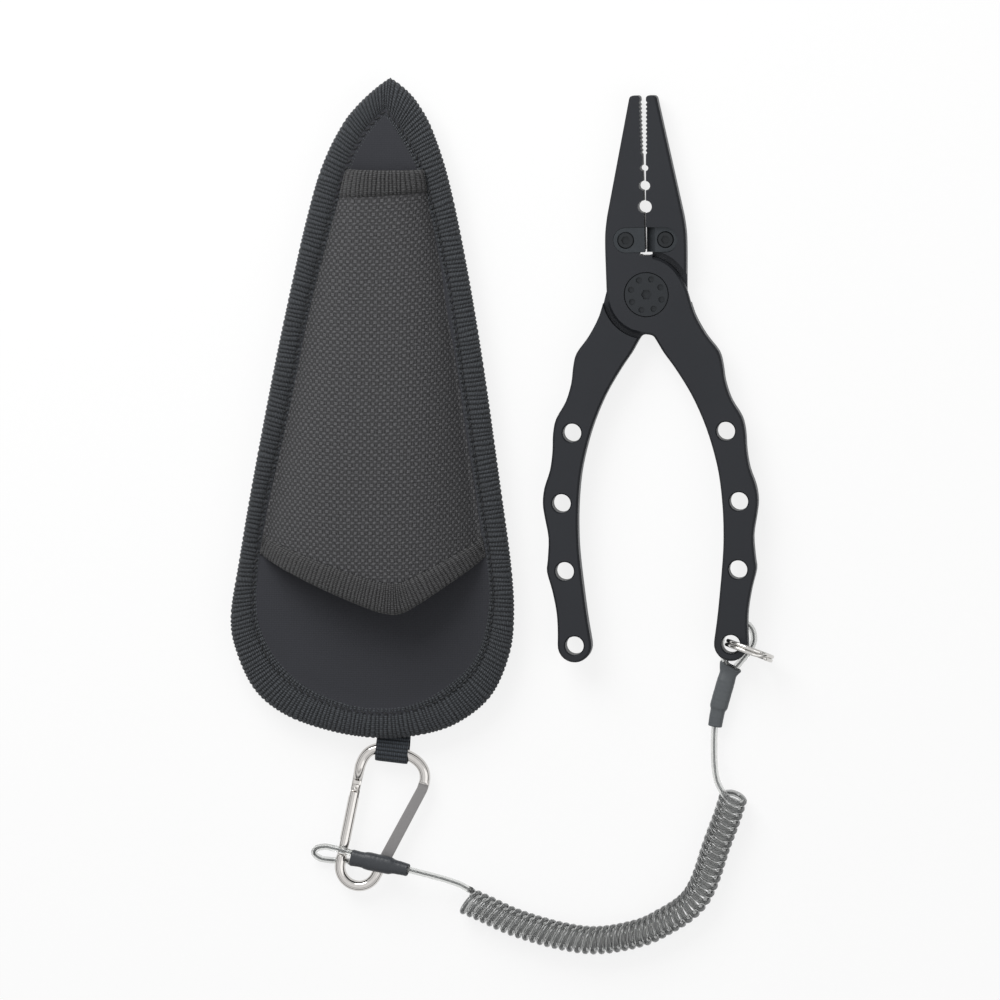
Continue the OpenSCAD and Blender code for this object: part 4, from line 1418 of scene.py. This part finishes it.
        # rings lie closer by the seam
        share = np.concatenate([np.linspace(0.04, 0.8, 22), np.linspace(0.82, 0.97, 10)])[:, None]
        flat = middle + (rim - middle)[None] * share[..., None]
        x, y = flat[..., 0], flat[..., 1]
        waves = 0.10 * np.sin(x / 9 + 0.4) * np.sin(y / 13) + 0.06 * np.sin(x / 5 - y / 8)
        sunk = dip * np.exp(-(((share - seam) / seam_wide) ** 2))
        over = self.face + crown * (1 - share**4) - sunk + waves
        face = np.concatenate([flat, over[..., None]], -1)
        back = np.concatenate([flat, np.full_like(over, self.low)[..., None]], -1)[::-1]
        at = np.concatenate([face, back], 0)
        spots = np.concatenate([flat, flat[::-1]], 0)
        ring = np.arange(rays)
        shell = Shell().grid(at, np.concatenate([spots, spots[:, :1]], 1), columns=True)
        return shell.lid(ring[::-1]).lid((len(at) - 1) * rays + ring)

    def pocket_at(self, u: Array, v: Array) -> Array:
        """A point of the pocket's inner face.

        Across, a point goes evenly from the left side line to the right one; its height is a swell that is
        full in the middle, falls to nothing before the sides and leaves a flat flange there, and grows from
        the top edge to the mouth. Near the mouth points slide down towards a rounded peak right of the
        middle, evenly along each leg.

        Args:
            u: place across, from -1 to 1.
            v: share from the top edge to the mouth.

        Returns:
            Coordinates, with one more axis.
        """
        left = np.array(
            [
                (-50.2, 103.24), (-56.5, 80.98), (-62.5, 57.7), (-67.1, 35.43), (-71.7, 14.17),
                (-76.2, -6.07), (-79.2, -22.6),
            ]
        )  # fmt: skip
        right = np.array(
            [
                (-25.3, 103.24), (-22.5, 86.04), (-18.6, 65.79), (-15, 42.51), (-11.7, 20.24), (-7.9, -5.06),
                (-4.9, -22.6),
            ]
        )  # fmt: skip
        fine, flange, steep, shape = 40, 0.95, 3, 1.1
        a, b = at_shares(curve(left, fine), v), at_shares(curve(right, fine), v)
        flat = a + (b - a) * ((u + 1) / 2)[..., None]
        swell = (1 - np.minimum(1, np.abs(u) / flange) ** steep) ** shape
        leg = (u - self.pocket_peak) / (1 + np.where(u < self.pocket_peak, 1, -1) * self.pocket_peak)
        peak = (1 - np.hypot(leg, self.pocket_blunt)) / (1 - self.pocket_blunt)
        fall = self.pocket_drop * v**3 * np.maximum(0, peak)
        rise = self.pocket_low + (self.pocket_rise - self.pocket_low) * eased(v)
        flat = flat - np.stack([np.zeros_like(fall), fall], -1)
        return np.concatenate([flat, (self.face + swell * rise)[..., None]], -1)

    def band(self, start: float, end: float, rows: int, columns: int, thick: float, ribs: float) -> Shell:
        """A band of the pocket as a sheet with thickness, with ribs across it where asked.

        The ribs stand nearly square to the band's last edge: a point's rib is that of the edge point nearest
        to it.

        Args:
            start: share where the band starts.
            end: share where it ends.
            rows: points along.
            columns: points across.
            thick: thickness of the cloth.
            ribs: spacing of the ribs, or 0 for none.

        Returns:
            The band's shell.
        """
        tall, hump, slant, edge = 0.35, 0.7, 0.8, 0.3
        u, v = np.meshgrid(np.linspace(-1, 1, columns), np.linspace(start, end, rows))
        under = self.pocket_at(u, v)
        across, along = run_of(under, 1), run_of(under, 0)
        normal = unit(np.cross(np.gradient(under, axis=0), np.gradient(under, axis=1)))
        normal = normal * np.sign(normal[..., 2:] + 1e-6)
        # the sheet thins out at its two side edges
        lift = thick * (1 - 0.9 * np.abs(u) ** 12)
        spots = across - across[:, -1:] / 2
        if ribs:
            turns = round(float(across[rows // 2, -1]) / ribs)
            place = 2 * (v - start) / (end - start) - 1
            fall = np.gradient(under[-1, :, 1]) / np.gradient(under[-1, :, 0])
            aside = slant * (under[..., 1] - under[-1:, :, 1]) * fall / (1 + fall**2)
            turn = turns * (u + 1) / 2 + aside / ribs
            # slow waves push the ribs a little along the band and lean them
            turn = turn + 0.15 * np.sin(0.8 * turn + 1) + 0.12 * np.sin(2.1 * turn) * place
            rolled = edge + (1 - edge) * np.sqrt(1 - place**4)
            lift = lift * rolled + tall * np.abs(np.sin(np.pi * turn)) ** hump
            spots = turn * ribs
        over = under + normal * lift[..., None]
        return thick_sheet(over, under, np.stack([spots, along], -1))

    def strap(self, line: Array, wide: float, thick: float, ribs: float, place: Spot) -> Shell:
        """A flat strap: a boxy oval carried along a line in an upright plane, ribbed across.

        Args:
            line: rows of distance along the plane and height.
            wide: width of the strap.
            thick: its thickness.
            ribs: spacing of its cross ribs.
            place: x and y of the plane's origin, and its direction in degrees.

        Returns:
            The strap's shell.
        """
        per_rib, deep, full, corners, boxy = 6, 0.3, 0.88, 36, 9.0
        x, y, turn = place
        way = np.array([math.cos(math.radians(turn)), math.sin(math.radians(turn)), 0.0])
        even = spaced(line, int(run_of(line)[-1] / ribs) * per_rib + 1)
        path = np.array([x, y, 0.0]) + even[:, :1] * way + even[:, 1:] * UP
        ahead = slopes(path)
        side = np.tile(np.cross(UP, way), (len(path), 1))
        run = run_of(path)
        ripple = 1 - deep * np.cos(2 * np.pi * run / ribs)
        section = oval(np.full(len(path), wide / 2), thick / 2 * ripple * full, corners, boxy)
        at = sweep(path, side, np.cross(ahead, side), section)
        spots = np.concatenate([section[..., 0], section[:, :1, 0]], 1)
        along = np.broadcast_to(run[:, None], spots.shape)
        return Shell().tube(at, np.stack([spots, along], -1))

    def webbing_line(self) -> Array:
        """Middle line of the hook's loop: from its sewn end along, round the hook's rod and back below.

        Returns:
            Rows of distance along the loop's plane and height.
        """
        end, neck, room, rod = -15.9, -12.9, 2.55, 4.35
        arc = np.linspace(np.pi / 2, 3 * np.pi / 2, 25)
        bend = np.column_stack([end + room * np.cos(arc), rod + room * np.sin(arc)])
        out = [(0, 4.85), (-4, 4.85), (-8.5, 5.1), (neck, rod + room)]
        back = [(neck, rod - room), (-8.5, 3.4), (-4, 3.7), (0, 3.75)]
        return np.vstack([out, bend, back])

    def belt_line(self) -> Array:
        """Middle line of the belt loop: sewn flat, down, along the belt, up and sewn flat."""
        return curve(
            np.array(
                [(50, 5.6), (44, 5.6), (39.2, 5.5), (36, 3.2), (32.4, 1.05), (20, 1.0), (0, 1.0),
                 (-13.4, 1.05), (-17, 3.2), (-20.2, 5.5), (-25, 5.6), (-31, 5.6)]
            ),
            8,
        )  # fmt: skip

    def seams(self) -> Shell:
        """Stitches along the binding's inner edge, both pocket tapes and the belt strap's sewn ends.

        Returns:
            The stitches' shell.
        """
        pitch, box_pitch, thin, thick, zigzag, slant = 2.4, 2.6, 0.45, 0.5, 1.0, 0.4
        rim_points, tape_points, box_points = 900, 400, 60
        inset, above, reach = 0.22, 0.3, 0.96
        shell = Shell()
        outer, inner = self.binding_lines(rim_points)
        line = inner + (outer - inner) * inset
        stitches(shell, np.column_stack([line, np.full(len(line), self.face + above)]), pitch, thin, zigzag)
        u = np.linspace(-reach, reach, tape_points)
        # shares along the pocket of its two seams, and their heights over its inner face
        for share, lift in ((self.pocket_head * 0.86, 1.95), (1 - self.pocket_tape * 0.9, 1.9)):
            seam = self.pocket_at(u, np.full_like(u, share)) + UP * lift
            stitches(shell, seam, pitch, thick, slant)
        # a box of stitches on each sewn end of the belt strap
        x0, x1, z = -57.4, -23.4, 4.72
        for y0, y1 in ((40.5, 48.5), (-29.5, -21.5)):
            box = np.array([(x0, y0, z), (x1, y0, z), (x0, y1, z), (x1, y1, z)])
            for a, b in ((0, 1), (2, 3), (0, 2), (1, 3)):
                stitches(shell, np.linspace(box[a], box[b], box_points), box_pitch, thick)
        return shell

    def build(self) -> None:
        tape, soft, webbing = TAPE.material(), TAPE_SOFT.material(), WEBBING.material()
        panel = self.panel().piece("panel_padding", PANEL_CLOTH.material(), "panel_cloth")
        binding = self.binding().piece("edge_binding", tape, "tape_web")
        # the cloth's edges end inside the tapes
        head, foot = self.pocket_head, 1 - self.pocket_tape
        first, last = head * 0.85, 1 - self.pocket_tape * 0.95
        shell = self.band(first, last, rows=130, columns=110, thick=self.cloth, ribs=0)
        pocket = shell.piece("pocket_cloth", BASKET.material(), "pocket_weave")
        thick = self.cloth + self.top_over
        shell = self.band(0, head, rows=13, columns=241, thick=thick, ribs=self.soft_rib)
        top = shell.piece("pocket_top_binding", soft, "tape_web")
        thick = self.cloth + self.mouth_over
        shell = self.band(foot, 1, rows=13, columns=621, thick=thick, ribs=self.soft_rib)
        mouth = shell.piece("pocket_mouth_binding", soft, "tape_web")
        ribs = WEBBING.along
        shell = self.strap(self.webbing_line(), self.web_wide, self.web_thick, ribs, self.web_place)
        loop = shell.piece("hook_webbing", webbing, "webbing")
        shell = self.strap(self.belt_line(), self.belt_wide, self.belt_thick, ribs, self.belt_place)
        belt = shell.piece("belt_strap", webbing, "webbing")
        thread = self.seams().piece("sheath_stitches", THREAD.material(), "webbing")
        for piece, node in (
            (panel, "sheath_panel"),
            (binding, "edge_tape"),
            (pocket, "pocket"),
            (top, "pocket_top_tape"),
            (mouth, "pocket_mouth_tape"),
            (loop, "web_loop"),
            (belt, "belt_loop"),
        ):
            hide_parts(node)
            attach(piece, Body.ROOT.value)
        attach(thread, Body.ROOT.value)


@dataclass
class Studio:
    """White floor, soft lamps and a long lens above, a little to the right and to the top of the picture.

    Attributes:
        scale: millimetres to a picture point at the point aimed at.
        distance: from there to the lens, in metres.
        lean: how far the lens stands off to x and y, to its height.
        aim: the point aimed at.
        paper: share of the floor's white that doesn't depend on the lamps, for the lens and for mirrors.
        edge: upward parts of a direction between which the studio's walls go over into its bright roof.
        wall: light of the walls to that of the roof.
        strips: cosine's turn, depth and mean of the roof's light strips.
        scatter: light that the studio gives to matt surfaces, to that which mirrors see.
    """

    scale: float = 0.325
    distance: float = 2.8
    lean: tuple[float, float] = (0.11, 0.1)
    aim: Spot = (-0.79, -4.3, 6.0)
    paper: float = 0.82
    edge: tuple[float, float] = (0.08, 0.4)
    wall: float = 0.1
    strips: tuple[float, float, float] = (13.5, 0.24, 0.8)
    scatter: float = 0.54

    def floor(self) -> None:
        """A wide sheet of white paper: white to the lens and to mirrors, with the shadows kept faint."""
        fibre_size, side = 2.5, 6.0
        made = bpy.data.materials.new("paper_white")
        tree = blank(made)
        place = put(tree, "TexCoord")["Object"]
        fibre = put(tree, "TexNoise", {"Vector": place, "Scale": 1 / (fibre_size * MM)})[0]
        tint = put(tree, "Mix", {0: fibre, 6: linear("#f6f6f6"), 7: linear("#fcfcfc")}, data_type="RGBA")[2]
        paper = put(tree, "BsdfDiffuse", {"Color": tint})[0]
        glow = put(tree, "Emission", {"Strength": 1.0})[0]
        ray = put(tree, "LightPath")
        either = {0: ray["Is Camera Ray"], 1: ray["Is Glossy Ray"]}
        seen = put(tree, "Math", either, operation="MAXIMUM")[0]
        part = put(tree, "Math", {0: seen, 1: self.paper}, operation="MULTIPLY")[0]
        mix = put(tree, "MixShader", {0: part, 1: paper, 2: glow})[0]
        put(tree, "OutputMaterial", {"Surface": mix})
        mesh = bpy.data.meshes.new("floor")
        corners = [(-side, -side, 0), (side, -side, 0), (side, side, 0), (-side, side, 0)]
        mesh.from_pydata(corners, [], [(0, 1, 2, 3)])
        mesh.materials.append(made)
        show("floor", mesh)

    def lamp(self, name: str, at: Spot, size: float, power: float) -> None:
        """Adds a square soft lamp that faces the middle of the set.

        Args:
            name: the lamp's name.
            at: its place, in metres.
            size: length of its side, in metres.
            power: its power, in watts.
        """
        light = bpy.data.lights.new(name, "AREA")
        light.size = size
        light.energy = power
        made = show(name, light)
        made.location = at
        x, y, z = at
        made.rotation_euler = (0.0, math.atan2(math.hypot(x, y), z), math.atan2(-y, -x) + math.pi)

    def camera(self) -> None:
        """The lens: as far off as given along the lean, its field one thousand picture points wide."""
        points, sensor = 1000, 36.0
        lens = bpy.data.cameras.new("lens")
        lens.sensor_width = sensor
        lens.lens = sensor * self.distance / (points * self.scale * MM)
        lens.clip_end = 20.0
        back = unit(np.array([*self.lean, 1.0]))
        right = unit(np.cross(np.array([0.0, 1.0, 0.0]), back))
        at = np.array(self.aim) * MM + back * self.distance
        frame = np.eye(4)
        frame[:3] = np.column_stack([right, np.cross(back, right), back, at])
        made = show("lens", lens)
        made.matrix_world = Matrix(frame.tolist())
        bpy.context.scene.camera = made

    def world(self) -> None:
        """The studio's own light: dim walls under a bright roof with soft strips, and white to the lens."""
        made = bpy.data.worlds.new("studio")
        tree = blank(made)
        upward = put(tree, "SeparateXYZ", {0: put(tree, "TexCoord")["Generated"]})[2]
        low, high = self.edge
        tent = put(tree, "MapRange", {0: upward, 1: low, 2: high, 3: self.wall, 4: 1.0})[0]
        ray = put(tree, "LightPath")
        level = put(tree, "MapRange", {0: ray["Is Glossy Ray"], 3: self.scatter, 4: 1.0})[0]
        turn, depth, mean = self.strips
        turned = put(tree, "Math", {0: upward, 1: turn}, operation="MULTIPLY")[0]
        wave = put(tree, "Math", {0: turned}, operation="COSINE")[0]
        strips = put(tree, "Math", {0: wave, 1: depth, 2: mean}, operation="MULTIPLY_ADD")[0]
        roof = put(tree, "Math", {0: tent, 1: strips}, operation="MULTIPLY")[0]
        around = put(tree, "Math", {0: roof, 1: level}, operation="MULTIPLY")[0]
        power = put(tree, "Math", {0: around, 1: ray["Is Camera Ray"]}, operation="MAXIMUM")[0]
        sky = put(tree, "Background", {"Color": linear("#ffffff"), "Strength": power})[0]
        put(tree, "OutputWorld", {"Surface": sky})
        bpy.context.scene.world = made

    def build(self) -> None:
        """Sets up floor, world, lamps, lens and the plain view."""
        self.floor()
        self.world()
        self.lamp("key", at=(-0.3, 0.62, 0.55), size=0.6, power=6.5)
        self.lamp("fill", at=(1.3, -0.4, 1.5), size=1.5, power=5.5)
        bpy.context.scene.view_settings.view_transform = "Standard"
        self.camera()


def main() -> None:
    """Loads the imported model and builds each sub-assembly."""
    logging.basicConfig(level=logging.INFO, format="%(message)s")
    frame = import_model()
    nodes = frame["nodes"]
    Studio().build()
    Lanyard().build(nodes)
    SnapHook().build(nodes)
    Sheath().build()
    Pliers().dress(nodes)


if __name__ == "__main__":
    main()
